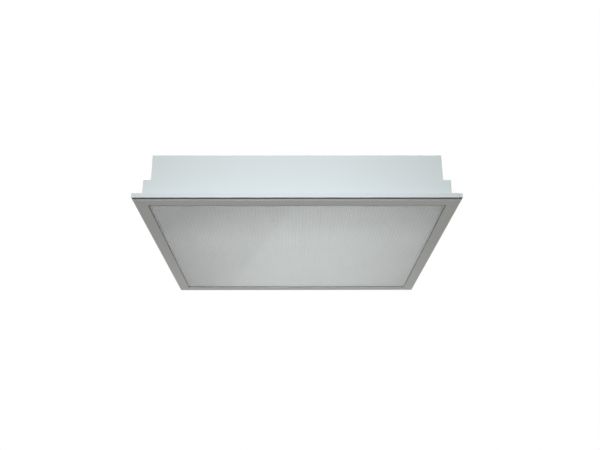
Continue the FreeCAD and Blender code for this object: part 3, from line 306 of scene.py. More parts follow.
def make_shade_drift():
    """Slow change of shade and gloss over a large panel, with a little speckle."""
    cloud_share, gloss_follows = 0.8, 2.5
    tree, nodes, given, result = new_group(
        "shade_drift",
        [("Colour", "Color", (1, 1, 1, 1)), ("Amount", "Float", 0.03), ("Roughness", "Float", 0.4)],
        [("Colour", "Color"), ("Roughness", "Float")])
    cloud = nodes.maths("MULTIPLY", nodes.noise(5.0, 3.0), cloud_share)
    speck = nodes.maths("MULTIPLY", nodes.noise(160.0, 3.0), 1 - cloud_share)
    swing = nodes.maths("SUBTRACT", nodes.maths("ADD", cloud, speck), 0.5)
    shift = nodes.maths("MULTIPLY", swing, given["Amount"])
    rough = nodes.maths("MULTIPLY_ADD", shift, gloss_follows, given["Roughness"])
    nodes.feed(result["Colour"], nodes.brighten(given["Colour"], nodes.maths("ADD", shift, 1.0)))
    nodes.feed(result["Roughness"], rough)
    return tree


def make_settled_dust():
    """Mask of dust that lies on faces that look up: patches, and grains among them."""
    grain_share = 0.4
    tree, nodes, given, result = new_group(
        "settled_dust", [("Amount", "Float", 0.3)], [("Mask", "Float")])
    upward = nodes.ramp(nodes.facing()[2], 0.35, 0.95)
    patches = nodes.ramp(nodes.noise(22.0, 6.0, 0.65), 0.35, 0.75)
    grains = nodes.ramp(nodes.noise(1500.0, 1.0), 0.45, 0.65)
    patches = nodes.maths("MULTIPLY", patches, 1 - grain_share)
    cover = nodes.maths("MULTIPLY_ADD", grains, grain_share, patches)
    nodes.feed(result["Mask"], nodes.both(nodes.both(cover, upward), given["Amount"]))
    return tree


def make_rubbed_scratches():
    """Mask of short fine scratches left by handling, in three directions."""
    directions = ((900.0, 18.0, 40.0), (25.0, 800.0, 30.0), (300.0, 340.0, 25.0))
    tree, nodes, given, result = new_group(
        "rubbed_scratches", [("Amount", "Float", 0.3)], [("Mask", "Float")])
    scratches = 0.0
    for direction in directions:
        streak = nodes.ramp(nodes.noise(1.0, 1.0, place=nodes.stretched(direction)), 0.69, 0.74)
        scratches = nodes.maths("MAXIMUM", scratches, streak)
    handled = nodes.ramp(nodes.noise(14.0, 2.0), 0.48, 0.68)
    nodes.feed(result["Mask"], nodes.both(nodes.both(scratches, handled), given["Amount"]))
    return tree


def make_drawn_grain():
    """Grain of drawn or rolled metal: long streaks and a fine speckle."""
    tree, nodes, given, result = new_group(
        "drawn_grain",
        [("Stretch", "Vector", (1.0, 1.0, 1.0))],
        [("Streaks", "Float"), ("Speckle", "Float")])
    streaks = nodes.noise(1.0, 4.0, 0.6, place=nodes.stretched(given["Stretch"]))
    nodes.feed(result["Streaks"], streaks)
    nodes.feed(result["Speckle"], nodes.noise(2600.0, 2.0))
    return tree


orange_peel = make_orange_peel()
shade_drift = make_shade_drift()
settled_dust = make_settled_dust()
rubbed_scratches = make_rubbed_scratches()
drawn_grain = make_drawn_grain()


def new_material(name, **constants):
    """Material with one Principled shader; constants go on the shader's own sockets."""
    material = bpy.data.materials.new(name)
    material.use_nodes = True
    tree = material.node_tree
    shader = next(node for node in tree.nodes if node.type == "BSDF_PRINCIPLED")
    nodes = Nodes(tree)
    for label, value in constants.items():
        nodes.feed(shader.inputs[label.replace("_", " ").title().replace("Ior", "IOR")], value)
    return material, nodes, shader.inputs


# Materials

def powder_coat(name, colour, roughness, peel=0.0012, dust=0.0, marks_and_shade=None):
    """Baked powder coat on sheet metal; the last function adds what is special to one piece, for the
    door painted light and shade too.
    """
    scratch_gloss, dust_roughness = -0.12, 0.5
    material, nodes, surface = new_material(name, coat_roughness=0.3, ior=1.48)
    drift = nodes.use(shade_drift, colour=colour, amount=0.035, roughness=roughness)
    shade = drift["Colour"]
    scratches = nodes.use(rubbed_scratches, amount=0.5)["Mask"]
    rough = nodes.maths("MULTIPLY_ADD", scratches, scratch_gloss, drift["Roughness"])
    height = nodes.use(orange_peel, size=peel)["Height"]
    if dust:
        cover = nodes.use(settled_dust, amount=dust)["Mask"]
        shade = nodes.mix(cover, shade, DUST)
        rough = nodes.maths("MULTIPLY_ADD", cover, dust_roughness, rough)
    if marks_and_shade:
        shade, height = marks_and_shade(nodes, shade, height)
    nodes.feed(surface["Base Color"], shade)
    nodes.feed(surface["Roughness"], rough)
    nodes.feed(surface["Normal"], nodes.bump(height, distance=0.05, strength=0.35))
    return material


def door_shading_and_joints(nodes, shade, height):
    """Light and shade painted on the door paint: lighter towards the hinges and the right, painted
    shade on the rim, in the channel behind it and on the inner lip; and a hairline joint
    across each corner."""
    joint_drop = -3.0
    x, y, z = nodes.axes(nodes.place())
    aside, ahead = nodes.maths("ABSOLUTE", x), nodes.maths("ABSOLUTE", y)
    reach = nodes.maths("MAXIMUM", aside, ahead)
    # Painted light: the door gets lighter towards the back, where the hinges are, and towards the
    # right
    painted_light_back = nodes.ramp(y, -0.20, 0.30, 1.0, 1.30)
    painted_light_right = nodes.ramp(x, -0.35, 0.35, 0.97, 1.05)
    shade = nodes.brighten(shade, nodes.maths("MULTIPLY", painted_light_back, painted_light_right))

    # Painted shade: darker on the outer rim, in the channel behind it and on the inner lip; the joint
    # across each corner is a dark line of the frame itself
    rim = nodes.beyond(reach, DOOR_EDGE - 0.3, soft=0.25)
    channel_shade = nodes.both(nodes.band(reach, DOOR_CHANNEL, soft=0.5), nodes.beyond(z, 0.9, soft=0.7))
    lip = nodes.both(
        nodes.within(reach, DOOR_OPENING + 0.4, soft=0.2), nodes.beyond(z, 0.2, soft=0.6))
    off_mitre = nodes.maths("ABSOLUTE", nodes.maths("SUBTRACT", aside, ahead))
    joint = nodes.both(
        nodes.within(off_mitre, 0.55, soft=0.4), nodes.beyond(reach, DOOR_OPENING - 0.1, soft=0.1))
    shade = nodes.tint(shade, rim, 0.6, RIM_SHADE)
    shade = nodes.tint(shade, channel_shade, 0.85, CHANNEL_SHADE)
    shade = nodes.tint(shade, lip, 0.75, LIP_SHADE)
    shade = nodes.tint(shade, joint, 0.35, JOINT_DIRT)
    return shade, nodes.maths("MULTIPLY_ADD", joint, joint_drop, height)


def weld_marks(nodes, shade, height):
    """Dimple of a spot weld over every tab that joins the end plates to the body."""
    weld_drop = -6.0
    x, y, z = nodes.axes(nodes.place())
    off_line = nodes.maths("SUBTRACT", nodes.maths("ABSOLUTE", y), WELD_LINE * MM)
    along_top = nodes.maths("PINGPONG", x, TOP_WELD_PITCH / 2 * MM)
    up_side = nodes.maths("SUBTRACT", z, SIDE_WELD_HEIGHT * MM)
    on_top = nodes.beyond(z, TOP_LEVEL, soft=2)
    on_side = nodes.beyond(nodes.maths("ABSOLUTE", x), SIDE_WALL, soft=1)
    dents = 0.0
    for across, where in ((along_top, on_top), (up_side, on_side)):
        squares = nodes.maths(
            "ADD", nodes.maths("POWER", across, 2.0), nodes.maths("POWER", off_line, 2.0))
        dent = nodes.within(nodes.maths("SQRT", squares), WELD_RADIUS, soft=1.2)
        dents = nodes.maths("MAXIMUM", dents, nodes.both(dent, where))
    shade = nodes.tint(shade, dents, 0.12, WELD_DULL)
    return shade, nodes.maths("MULTIPLY_ADD", dents, weld_drop, height)


def moulded_plastic(name, colour, roughness, coat=0.0, mottle=0.04):
    """Moulded plastic with a faint grain and flow marks."""
    material, nodes, surface = new_material(name, coat_weight=coat, coat_roughness=0.2, ior=1.5)
    drift = nodes.use(shade_drift, colour=colour, amount=mottle, roughness=roughness)
    grain = nodes.noise(2400.0, 2.0)
    nodes.feed(surface["Base Color"], drift["Colour"])
    nodes.feed(surface["Roughness"], drift["Roughness"])
    nodes.feed(surface["Normal"], nodes.bump(grain, distance=0.03, strength=0.4))
    return material


def rubber(name, colour):
    """Dull rubber with a pale bloom and tiny pits."""
    roughness, bloom_roughness = 0.62, 0.15
    pale = tuple(channel * 1.7 + 0.02 for channel in colour)
    material, nodes, surface = new_material(name, sheen_weight=0.25, sheen_roughness=0.5, ior=1.5)
    bloom = nodes.ramp(nodes.noise(260.0, 5.0, 0.6), 0.4, 0.75)
    pits = nodes.noise(3200.0, 2.0)
    nodes.feed(surface["Base Color"], nodes.tint(colour, bloom, 0.5, pale))
    nodes.feed(surface["Roughness"], nodes.maths("MULTIPLY_ADD", bloom, bloom_roughness, roughness))
    nodes.feed(surface["Normal"], nodes.bump(pits, distance=0.04, strength=0.5))
    return material


def bare_metal(name, colour, tarnished, roughness, stretch, speckle=0.0):
    """Metal with drawing lines along its least stretched axis, tarnish and a speckle of zinc."""
    tarnish_share, streak_roughness = 0.5, 0.25
    material, nodes, surface = new_material(name, metallic=1.0)
    grain = nodes.use(drawn_grain, stretch=stretch)
    tarnish = nodes.ramp(nodes.noise(90.0, 4.0, 0.6), 0.35, 0.75)
    tarnish = nodes.maths("MULTIPLY", tarnish, tarnish_share)
    share = nodes.maths("MULTIPLY_ADD", grain["Speckle"], speckle, tarnish)
    rough = nodes.maths("MULTIPLY_ADD", grain["Streaks"], streak_roughness, roughness - 0.1)
    nodes.feed(surface["Base Color"], nodes.mix(share, colour, tarnished))
    nodes.feed(surface["Roughness"], rough)
    nodes.feed(surface["Normal"], nodes.bump(grain["Streaks"], distance=0.03, strength=0.5))
    return material


def insulation(name, colour, stripe=None):
    """Extruded wire cover, with a second colour along its upper side where a stripe is given."""
    material, nodes, surface = new_material(name, coat_weight=0.2, coat_roughness=0.35, ior=1.5)
    drift = nodes.use(shade_drift, colour=colour, amount=0.08, roughness=0.42)
    cover = drift["Colour"]
    if stripe:
        cover = nodes.mix(nodes.ramp(nodes.facing()[2], -0.05, 0.05), cover, stripe)
    ripple = nodes.noise(1500.0, 1.0)
    nodes.feed(surface["Base Color"], cover)
    nodes.feed(surface["Roughness"], drift["Roughness"])
    nodes.feed(surface["Normal"], nodes.bump(ripple, distance=0.02, strength=0.4))
    return material


def board_mask(name):
    """White solder mask over copper tracks, with bare tinned pads round every light chip."""
    material, nodes, surface = new_material(name, coat_weight=0.3, coat_roughness=0.15, ior=1.5)
    x, y, _ = nodes.axes(nodes.place())
    beside = nodes.from_nearest(x, BOARD_PITCH)
    along = nodes.from_nearest(y, CHIP_PITCH)
    track = nodes.band(beside, BOARD_TRACK, soft=0.3)
    link = nodes.both(
        nodes.within(beside, LINK_HALF_WIDTH, soft=0.2), nodes.beyond(along, LINK_START, soft=0.2))
    pad = nodes.both(
        nodes.within(beside, PAD_HALF_WIDTH, soft=0.1), nodes.within(along, PAD_HALF_LENGTH, soft=0.1))
    copper = nodes.maths("MAXIMUM", track, link)
    drift = nodes.use(shade_drift, colour=SOLDER_MASK, amount=0.03, roughness=0.35)
    masked = nodes.tint(drift["Colour"], copper, 0.5, COVERED_COPPER)
    relief = nodes.maths("ADD", copper, pad)
    nodes.feed(surface["Base Color"], nodes.mix(pad, masked, TINNED_PAD))
    nodes.feed(surface["Metallic"], nodes.maths("MULTIPLY", pad, 0.9))
    nodes.feed(surface["Roughness"], drift["Roughness"])
    nodes.feed(surface["Normal"], nodes.bump(relief, distance=0.05, strength=0.8))
    return material


def prism_glint(nodes, x, y):
    """Painted highlights and shade on the facets of the prisms, from about -0.6 to 0.6."""
    row_share, column_share = 0.8, 0.45
    half = PRISM_DIAGONAL / 2 * MM
    column = nodes.maths("DIVIDE", nodes.maths("PINGPONG", x, half), half)
    row = nodes.maths("DIVIDE", nodes.maths("PINGPONG", y, 2 * half), half)
    column = nodes.maths("SUBTRACT", column, 0.5)
    row = nodes.maths("SUBTRACT", row, 1.0)
    return nodes.maths("MULTIPLY", column, nodes.maths("MULTIPLY_ADD", row, row_share, column_share))


def prismatic_acrylic(name):
    """Acrylic whose prisms scatter the white of the chamber behind them, shown opaque: pale and
    glossy, with light and shade painted into its colour: dimmer towards its frame, a slanting
    shadow, one shaded corner and light and dark prism facets. Its places are in metres."""
    brightest_x, side_dimming = 0.03, 6.6
    shadow_slope, shadow_place = 0.3, 0.085
    haze_dimming, glint_dimming = 0.12, 0.26
    clean_roughness, smear_roughness = 0.16, 0.12
    dimmed = tuple(0.55 * channel for channel in ACRYLIC)
    material, nodes, surface = new_material(name, ior=1.49, coat_weight=0.5, coat_roughness=0.12)
    x, y, _ = nodes.axes(nodes.place())

    # Painted light and shade: brightest along a line just right of the middle, dimmer towards the
    # sides and the front, lighter towards the back, a slanting shadow and a shaded front left corner;
    # the haze is random tone
    sides = nodes.maths("POWER", nodes.maths("SUBTRACT", x, brightest_x), 2.0)
    front = nodes.ramp(y, -0.29, -0.04, 0.62, 0.04)
    back = nodes.ramp(y, -0.06, 0.26, 0.0, -0.10)
    past_shadow = nodes.maths("MULTIPLY_ADD", y, shadow_slope, nodes.maths("ADD", x, shadow_place))
    shadow = nodes.ramp(past_shadow, -0.012, 0.012, 0.12, 0.0)
    dark_corner = nodes.both(
        nodes.ramp(x, -0.275, -0.17, 0.35, 0.0), nodes.ramp(y, -0.275, -0.19, 1.0, 0.0))
    haze = nodes.maths("SUBTRACT", nodes.noise(7.0, 2.0), 0.5)

    dim = nodes.maths("MULTIPLY_ADD", sides, side_dimming, front)
    dim = nodes.maths("ADD", dim, nodes.maths("ADD", back, shadow))
    dim = nodes.maths("MULTIPLY_ADD", haze, haze_dimming, dim)
    dim = nodes.maths("ADD", dim, dark_corner)
    dim = nodes.maths("MULTIPLY_ADD", prism_glint(nodes, x, y), glint_dimming, dim)
    smear = nodes.ramp(nodes.noise(1.0, 4.0, place=nodes.stretched((6.0, 14.0, 1.0))), 0.4, 0.8)
    rough = nodes.maths("MULTIPLY_ADD", smear, smear_roughness, clean_roughness)
    ripple = nodes.noise(420.0, 2.0)
    nodes.feed(surface["Base Color"], nodes.mix(dim, ACRYLIC, dimmed))
    nodes.feed(surface["Roughness"], rough)
    nodes.feed(surface["Normal"], nodes.bump(ripple, distance=0.04, strength=0.25))
    return material


MATERIALS = {
    "housing_white": powder_coat(
        "housing_white", HOUSING_WHITE, 0.42, dust=0.35, marks_and_shade=weld_marks),
    "door_white": powder_coat("door_white", DOOR_WHITE, 0.40, peel=0.0009, marks_and_shade=door_shading_and_joints),
    "tray_white": powder_coat("tray_white", TRAY_WHITE, 0.55, peel=0.0016),
    "board_white": board_mask("board_white"),
    "chip_yellow": moulded_plastic("chip_yellow", (0.80, 0.60, 0.16), 0.4, mottle=0.1),
    "socket_white": moulded_plastic("socket_white", (0.76, 0.76, 0.72), 0.35, coat=0.15),
    "nylon_white": moulded_plastic("nylon_white", (0.74, 0.74, 0.69), 0.5),
    "grommet_rubber": rubber("grommet_rubber", (0.035, 0.035, 0.035)),
    "buffer_rubber": rubber("buffer_rubber", (0.32, 0.32, 0.31)),
    "driver_metal": powder_coat("driver_metal", (0.60, 0.62, 0.63), 0.45, peel=0.0008),
    "driver_plastic": moulded_plastic("driver_plastic", (0.52, 0.53, 0.53), 0.5),
    "zinc_steel": bare_metal(
        "zinc_steel", (0.70, 0.71, 0.70), (0.42, 0.42, 0.40), 0.38, (60.0, 900.0, 900.0), 0.5),
    "spring_steel": bare_metal(
        "spring_steel", (0.52, 0.53, 0.55), (0.26, 0.25, 0.25), 0.3, (900.0, 60.0, 60.0)),
    "angle_aluminium": bare_metal(
        "angle_aluminium", (0.78, 0.79, 0.80), (0.55, 0.55, 0.55), 0.42, (40.0, 40.0, 900.0)),
    "diffuser_acrylic": prismatic_acrylic("diffuser_acrylic"),
    "block_white": moulded_plastic("block_white", (0.76, 0.76, 0.72), 0.4, coat=0.1),
    "contact_brass": bare_metal(
        "contact_brass", (0.78, 0.58, 0.24), (0.45, 0.30, 0.10), 0.3, (900.0, 60.0, 900.0)),
    "button_orange": moulded_plastic("button_orange", (0.80, 0.22, 0.03), 0.35, coat=0.2),
    "wire_brown": insulation("wire_brown", (0.10, 0.035, 0.012)),
    "wire_blue": insulation("wire_blue", (0.02, 0.09, 0.42)),
    "wire_green": insulation("wire_green", (0.05, 0.30, 0.03), stripe=(0.75, 0.62, 0.03)),
    "lead_red": insulation("lead_red", (0.48, 0.012, 0.012)),
    "lead_black": insulation("lead_black", (0.015, 0.015, 0.015)),
}


def dress_cad_nodes():
    """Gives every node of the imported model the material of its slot."""
    for subpart in frame["record"]["subparts"]:
        materials = frame["nodes"][subpart["node"]].data.materials
        materials.clear()
        materials.append(MATERIALS[subpart["material_slot"]])


# Modelling helpers

def deselect():
    bpy.ops.object.select_all(action="DESELECT")


def take(piece):
    """Selects one piece alone and makes it the active one."""
    deselect()
    piece.select_set(True)
    bpy.context.view_layer.objects.active = piece


def edit():
    bpy.ops.object.mode_set(mode="EDIT")


def stop_editing():
    bpy.ops.object.mode_set(mode="OBJECT")


def fix_place():
    """Moves the place, turn and scale of the piece in hand into its mesh."""
    bpy.ops.object.transform_apply(location=True, rotation=True, scale=True)


def choose(kind, test):
    """In edit mode, selects just the faces or the edges that the test accepts."""
    mesh = bmesh.from_edit_mesh(bpy.context.object.data)
    bpy.ops.mesh.select_mode(type={"faces": "FACE", "edges": "EDGE"}[kind])
    bpy.ops.mesh.select_all(action="DESELECT")
    for element in getattr(mesh, kind):
        if test(element):
            element.select_set(True)
    mesh.select_flush_mode()
    bmesh.update_edit_mesh(bpy.context.object.data)


def looks_down(face):
    return face.normal.z < -SQUARELY


def upright(height):
    """Test for edges that rise by the whole height of a piece, in mm."""
    return lambda edge: abs(edge.verts[0].co.z - edge.verts[1].co.z) > 0.9 * height * MM


def extrude(step):
    """Extrudes what is chosen by a step in metres."""
    bpy.ops.mesh.extrude_region_move(TRANSFORM_OT_translate={"value": step})


def resize(factors, middle):
    """Scales what is chosen about a point in metres."""
    bpy.ops.transform.resize(value=factors, center_override=middle)


def repeat(places):
    """Copies the piece in hand from the first place to the others and joins the copies."""
    first = bpy.context.object
    copies = [first]
    for place in places[1:]:
        take(first)
        step = (Vector(place) - Vector(places[0])) * MM
        bpy.ops.object.duplicate_move(TRANSFORM_OT_translate={"value": step})
        copies.append(bpy.context.object)
    for piece in copies:
        piece.select_set(True)
    bpy.context.view_layer.objects.active = first
    bpy.ops.object.join()


def finish_piece(name, slot, body, replaced):
    """Name, material slot, body and replaced nodes of the piece just modelled."""
    piece = bpy.context.object
    fix_place()
    piece.name = piece.data.name = name
    piece.data.materials.clear()
    piece.data.materials.append(MATERIALS[slot])
    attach(piece, body)
    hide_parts(*replaced)


def add_block(place, sides):
    """Block at a place in mm, left in edit mode."""
    deselect()
    bpy.ops.mesh.primitive_cube_add(size=MM, location=Vector(place) * MM, scale=sides)
    fix_place()
    edit()


def add_rod(place, size, length, sides, turn=0):
    """Upright rod with a number of flat sides at a place in mm, left in edit mode."""
    deselect()
    bpy.ops.mesh.primitive_cylinder_add(
        vertices=sides, radius=size / 2 * MM, depth=length * MM,
        location=Vector(place) * MM, rotation=(0, 0, math.radians(turn)))
    fix_place()
    edit()


# Light boards

def make_chips():
    """Light chips under the boards: a white body with a cup that holds the phosphor."""
    chip_height, phosphor_height = CHIP_SIZE[2], PHOSPHOR_SIZE[2]
    level = BOARD_UNDERSIDE - chip_height / 2
    places = [(row, along, level) for row in BOARD_ROWS for along in CHIP_PLACES]
    add_block(places[0], CHIP_SIZE)
    choose("edges", upright(chip_height))
    bpy.ops.mesh.bevel(offset=CHIP_CORNER * MM, segments=1)
    choose("faces", looks_down)
    bpy.ops.mesh.inset(thickness=CHIP_RIM * MM)
    extrude((0, 0, CUP_DEPTH * MM))
    resize(CUP_NARROWING, Vector(places[0]) * MM)
    stop_editing()
    repeat(places)
    finish_piece("chip_bodies", "socket_white", "housing", ["light_chips"])

    row, along, _ = places[0]
    cup_floor = BOARD_UNDERSIDE - chip_height + CUP_DEPTH
    add_block((row, along, cup_floor - phosphor_height / 2), PHOSPHOR_SIZE)
    choose("faces", looks_down)
    bpy.ops.mesh.inset(thickness=PHOSPHOR_EDGE * MM, depth=PHOSPHOR_DOME * MM)
    stop_editing()
    repeat(places)
    finish_piece("chip_phosphor", "chip_yellow", "housing", ["light_chips"])


def make_sockets(name, side):
    """Push-in sockets along one edge of the boards: two wire ports and two release slots each."""
    places = [(row + side * SOCKET_ASIDE, SOCKET_ROW, SOCKET_LEVEL) for row in BOARD_ROWS]
    add_block(places[0], SOCKET_SIZE)
    bpy.ops.mesh.select_all(action="SELECT")
    bpy.ops.mesh.bisect(plane_co=(0, SOCKET_ROW * MM, 0), plane_no=(0, 1, 0))
    choose("faces", lambda face: face.normal.x * side > SQUARELY)
    bpy.ops.mesh.inset(thickness=PORT_WALL * MM, use_individual=True)
    extrude((-side * PORT_DEPTH * MM, 0, 0))
    choose("faces", looks_down)
    bpy.ops.mesh.inset(thickness=RELEASE_WALL * MM, use_individual=True)
    extrude((0, 0, RELEASE_DEPTH * MM))
    choose("edges", upright(SOCKET_SIZE[2]))
    bpy.ops.mesh.bevel(offset=SOCKET_CORNER * MM, segments=2)
    stop_editing()
    repeat(places)
    finish_piece(name, "socket_white", "housing", ["light_board_sockets"])


# Wires

def make_wire(name, slot, routes, size, replaced):
    """Round insulated wire, smooth through its bends; routes and size in mm."""
    line = bpy.data.curves.new(name, "CURVE")
    line.dimensions = "3D"
    line.bevel_depth = size / 2 * MM
    line.bevel_resolution = 3
    line.resolution_u = 12
    line.use_fill_caps = True
    for route in routes:
        spline = line.splines.new("NURBS")
        spline.points.add(len(route) - 1)
        for point, place in zip(spline.points, route):
            point.co = (*(Vector(place) * MM), 1)
        spline.order_u = 3
        spline.use_endpoint_u = True
    wire = bpy.data.objects.new(name, line)
    bpy.context.scene.collection.objects.link(wire)
    take(wire)
    bpy.ops.object.convert(target="MESH")
    bpy.ops.object.shade_smooth()
    finish_piece(name, slot, "housing", [replaced])


def lead_routes(side):
    """From the driver down through the tray to the first board, then from board to board."""
    high = SOCKET_ROW + side * DRIVER_LEAD_ASIDE
    low = SOCKET_ROW + side * BOARD_LEAD_ASIDE
    routes = [[
        (DRIVER_END, high, DRIVER_LEAD_LEVEL), (LEAD_BEND, high, DRIVER_LEAD_LEVEL),
        (LEAD_HOLE, low, DRIVER_LEAD_LEVEL), (LEAD_HOLE, low, SOCKET_LEVEL),
        (BOARD_ROWS[0] - SOCKET_REACH, low, SOCKET_LEVEL)]]
    for row, next_row in zip(BOARD_ROWS, BOARD_ROWS[1:]):
        start, end = row + SOCKET_REACH, next_row - SOCKET_REACH
        sag = ((start + end) / 2, low, SOCKET_LEVEL - LEAD_SAG)
        routes.append([(start, low, SOCKET_LEVEL), sag, (end, low, SOCKET_LEVEL)])
    return routes


def make_wires():
    """Mains wires from the terminal block, and the leads from the driver along the boards."""
    make_wire("live_wire_round", "wire_brown", [LIVE_ROUTE], WIRE_SIZE, "live_wire")
    make_wire("neutral_wire_round", "wire_blue", [NEUTRAL_ROUTE], WIRE_SIZE, "neutral_wire")
    make_wire("earth_wire_round", "wire_green", [EARTH_ROUTE], WIRE_SIZE, "earth_wire")
    make_wire("red_leads_round", "lead_red", lead_routes(-1), LEAD_SIZE, "red_leads")
    make_wire("black_leads_round", "lead_black", lead_routes(1), LEAD_SIZE, "black_leads")


# Screws

def cut_slot(screw, middle, turn, sides):
    """Cuts one slot of the cross recess out of a screw's head; middle and sides in mm."""
    bpy.ops.mesh.primitive_cube_add(
        size=MM, location=Vector(middle) * MM, rotation=(0, 0, math.radians(turn)), scale=sides)
    cutter = bpy.context.object
    take(screw)
    recess = screw.modifiers.new("recess", "BOOLEAN")
    recess.object = cutter
    recess.operation = "DIFFERENCE"
    bpy.ops.object.modifier_apply(modifier=recess.name)
    bpy.data.objects.remove(cutter)


def make_screws(name, body, places, head, shank, replaced):
    """Hexagon-headed screws with a cross recess, pointing down; rings stand for their thread.
    Head and shank are (size, length) in mm."""
    x, y, seat = places[0]
    head_size, head_height = head
    shank_size, shank_length = shank
    top = seat + head_height
    add_rod((x, y, seat + head_height / 2), head_size, head_height, sides=6, turn=30)
    choose("edges", lambda edge: all(abs(vert.co.z - top * MM) < 0.01 * MM for vert in edge.verts))
    bpy.ops.mesh.bevel(offset=head_height * HEAD_CHAMFER * MM, segments=2)
    stop_editing()
    screw = bpy.context.object
    slot = (head_size * RECESS_LENGTH, head_size * RECESS_WIDTH, head_height * RECESS_DEPTH)
    for turn in (0, 90):
        cut_slot(screw, (x, y, top), turn, slot)

    pitch = shank_length / THREAD_RINGS
    add_rod((x, y, seat - pitch / 2), shank_size, pitch, sides=20)
    choose("faces", looks_down)
    for ring in range(THREAD_RINGS - 1):
        width = THREAD_NARROWING if ring % 2 == 0 else 1 / THREAD_NARROWING
        extrude((0, 0, -pitch * MM))
        resize((width, width, 1), Vector(places[0]) * MM)
    stop_editing()
    screw.select_set(True)
    bpy.context.view_layer.objects.active = screw
    bpy.ops.object.join()
    repeat(places)
    bpy.ops.object.shade_smooth_by_angle(angle=math.radians(25))
    finish_piece(name, "zinc_steel", body, [replaced])


def make_all_screws():
    """Screws of the hinge leaves and strikes in the door's channels, and of the driver's feet."""
    rail_places = [
        (hinge + side * HINGE_SCREW_ASIDE, RAIL_SCREW_LINE, RAIL_SCREW_SEAT)
        for hinge in HINGE_PLACES for side in (-1, 1)]
    rail_places += [(strike, -RAIL_SCREW_LINE, RAIL_SCREW_SEAT) for strike in STRIKE_PLACES]
    foot_places = [(foot, FOOT_SCREW_LINE, FOOT_SCREW_SEAT) for foot in FOOT_SCREW_PLACES]
    make_screws(
        "door_frame_screws", "door", rail_places, RAIL_SCREW_HEAD, RAIL_SCREW_SHANK, "door_screws")
    make_screws(
        "driver_foot_screws", "housing", foot_places, FOOT_SCREW_HEAD, FOOT_SCREW_SHANK,
        "driver_screws")


# Diffuser

def make_diffuser():
    """Acrylic sheet whose lower face is a staggered field of small pyramids."""
    low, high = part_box("diffuser_panel")
    cell = PRISM_DIAGONAL * MM / math.sqrt(2)
    depth = PRISM_DEPTH * MM
    valley = low.z + depth
    deselect()
    bpy.ops.mesh.primitive_grid_add(
        x_subdivisions=PRISM_CELLS, y_subdivisions=PRISM_CELLS, size=PRISM_CELLS * cell,
        location=(0, 0, valley), rotation=(0, 0, math.radians(45)))
    fix_place()
    edit()
    bpy.ops.mesh.select_all(action="SELECT")
    bpy.ops.mesh.poke(offset=-depth)
    for side in (-1, 1):
        for axis in (0, 1):
            outward = Vector((0, 0, 0))
            outward[axis] = side
            bpy.ops.mesh.select_all(action="SELECT")
            bpy.ops.mesh.bisect(plane_co=outward * high.x, plane_no=outward, clear_outer=True)
    choose("edges", lambda edge: edge.is_boundary)
    extrude((0, 0, high.z - valley))
    resize((1, 1, 0), (0, 0, high.z))
    bpy.ops.mesh.edge_face_add()
    bpy.ops.mesh.select_all(action="SELECT")
    bpy.ops.mesh.normals_make_consistent(inside=False)
    stop_editing()
    finish_piece("prismatic_diffuser", "diffuser_acrylic", "door", ["diffuser_panel"])


# Surroundings

def make_camera():
    """Camera fitted to the outline of the light."""
    yaw, pitch, roll = CAMERA_YAW, CAMERA_PITCH, CAMERA_ROLL
    forward = Vector((
        math.sin(yaw) * math.cos(pitch), math.cos(yaw) * math.cos(pitch), math.sin(pitch)))
    right = Vector((math.cos(yaw), -math.sin(yaw), 0))
    above = right.cross(forward)
    rolled_right = right * math.cos(roll) + above * math.sin(roll)
    rolled_above = above * math.cos(roll) - right * math.sin(roll)
    turn = Matrix((rolled_right, rolled_above, -forward)).transposed().to_4x4()
    data = bpy.data.cameras.new("camera")
    data.sensor_width = SENSOR_WIDTH
    data.lens = FOCAL_PIXELS * SENSOR_WIDTH / PICTURE_WIDTH
    camera = bpy.data.objects.new("camera", data)
    camera.matrix_world = Matrix.Translation(CAMERA_PLACE) @ turn
    bpy.context.scene.collection.objects.link(camera)
    bpy.context.scene.camera = camera


def make_lamp(name, place, target, size, power, colour=(1, 1, 1), spread=90):
    """Soft rectangular lamp that looks at a target: metres, watts and degrees."""
    data = bpy.data.lights.new(name, "AREA")
    data.shape = "RECTANGLE"
    data.size, data.size_y = size
    data.energy = power
    data.color = colour
    data.spread = math.radians(spread)
    lamp = bpy.data.objects.new(name, data)
    lamp.location = place
    lamp.rotation_euler = (Vector(target) - Vector(place)).to_track_quat("-Z", "Y").to_euler()
    lamp.visible_camera = False
    bpy.context.scene.collection.objects.link(lamp)


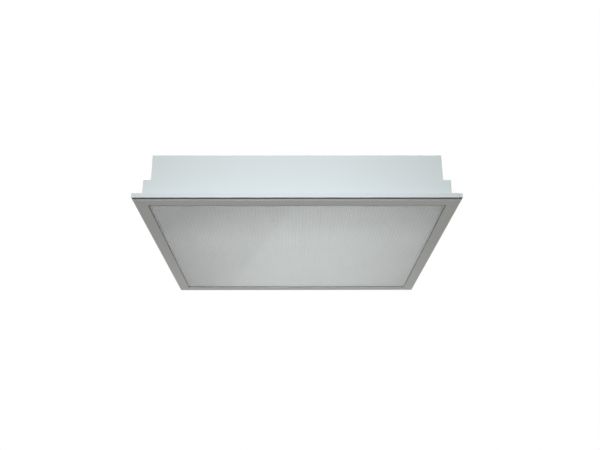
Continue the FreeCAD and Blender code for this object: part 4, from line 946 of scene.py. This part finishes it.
def make_lamps():
    """One narrow lamp low in front, and weaker light from above, both sides and behind."""
    side_size = (1.4, 0.8)
    make_lamp(
        "front_lamp", place=(-0.03, -3.4, -0.95), target=(-0.03, 0, 0.02), size=(0.5, 0.5),
        power=1.47, colour=(0.98, 1.0, 1.0), spread=24)
    make_lamp("top_lamp", place=(0.2, 0.2, 1.9), target=(0, 0, 0.1), size=(1.6, 1.6), power=3.6)
    make_lamp("left_lamp", place=(-2.2, 0.2, 0.8), target=(-0.28, 0, 0.05), size=side_size, power=4.5)
    make_lamp("right_lamp", place=(2.2, 0.2, 0.8), target=(0.28, 0, 0.05), size=side_size, power=3.5)
    make_lamp("back_lamp", place=(0.3, 2.4, 0.8), target=(0, 0.28, 0.05), size=side_size, power=4.0)


def seen_directly(nodes):
    """1 where the camera, a reflection or glass looks at the background itself."""
    ray = nodes.add("ShaderNodeLightPath").outputs
    reflected = nodes.maths("MAXIMUM", ray["Is Glossy Ray"], ray["Is Transmission Ray"])
    return nodes.maths("MAXIMUM", ray["Is Camera Ray"], reflected)


def make_world():
    """White to the eye, and a dim even light on the object."""
    world = bpy.data.worlds.new("studio")
    bpy.context.scene.world = world
    world.use_nodes = True
    tree = world.node_tree
    tree.nodes.clear()
    nodes = Nodes(tree)
    fill = nodes.add(
        "ShaderNodeBackground", inputs={"Color": (1.0, 1.0, 0.98), "Strength": WORLD_FILL})
    white = nodes.add("ShaderNodeBackground", inputs={"Color": (1, 1, 1), "Strength": WORLD_SEEN})
    either = nodes.add("ShaderNodeMixShader", inputs={"Fac": seen_directly(nodes)})
    nodes.feed(either.inputs[1], fill.outputs[0])
    nodes.feed(either.inputs[2], white.outputs[0])
    output = nodes.add("ShaderNodeOutputWorld")
    nodes.feed(output.inputs["Surface"], either.outputs[0])


def make_floor():
    """Pale floor at a room's height below the ceiling; it takes the light's shadow."""
    deselect()
    bpy.ops.mesh.primitive_plane_add(size=FLOOR_SIZE, location=(0, 0, -FLOOR_DROP))
    floor = bpy.context.object
    floor.name = "floor"
    material, nodes, surface = new_material("pale_floor", roughness=0.9)
    direct = seen_directly(nodes)
    nodes.feed(surface["Base Color"], nodes.mix(direct, FLOOR_SHADE, FLOOR_SHADE_SEEN))
    nodes.feed(surface["Emission Color"], (1, 1, 1))
    nodes.feed(surface["Emission Strength"], nodes.maths("MULTIPLY", direct, FLOOR_GLOW_SEEN))
    floor.data.materials.append(material)


dress_cad_nodes()
make_diffuser()
make_chips()
make_sockets("left_sockets", -1)
make_sockets("right_sockets", 1)
make_wires()
make_all_screws()
make_camera()
make_world()
make_lamps()
make_floor()
bpy.context.scene.view_settings.view_transform = "Standard"
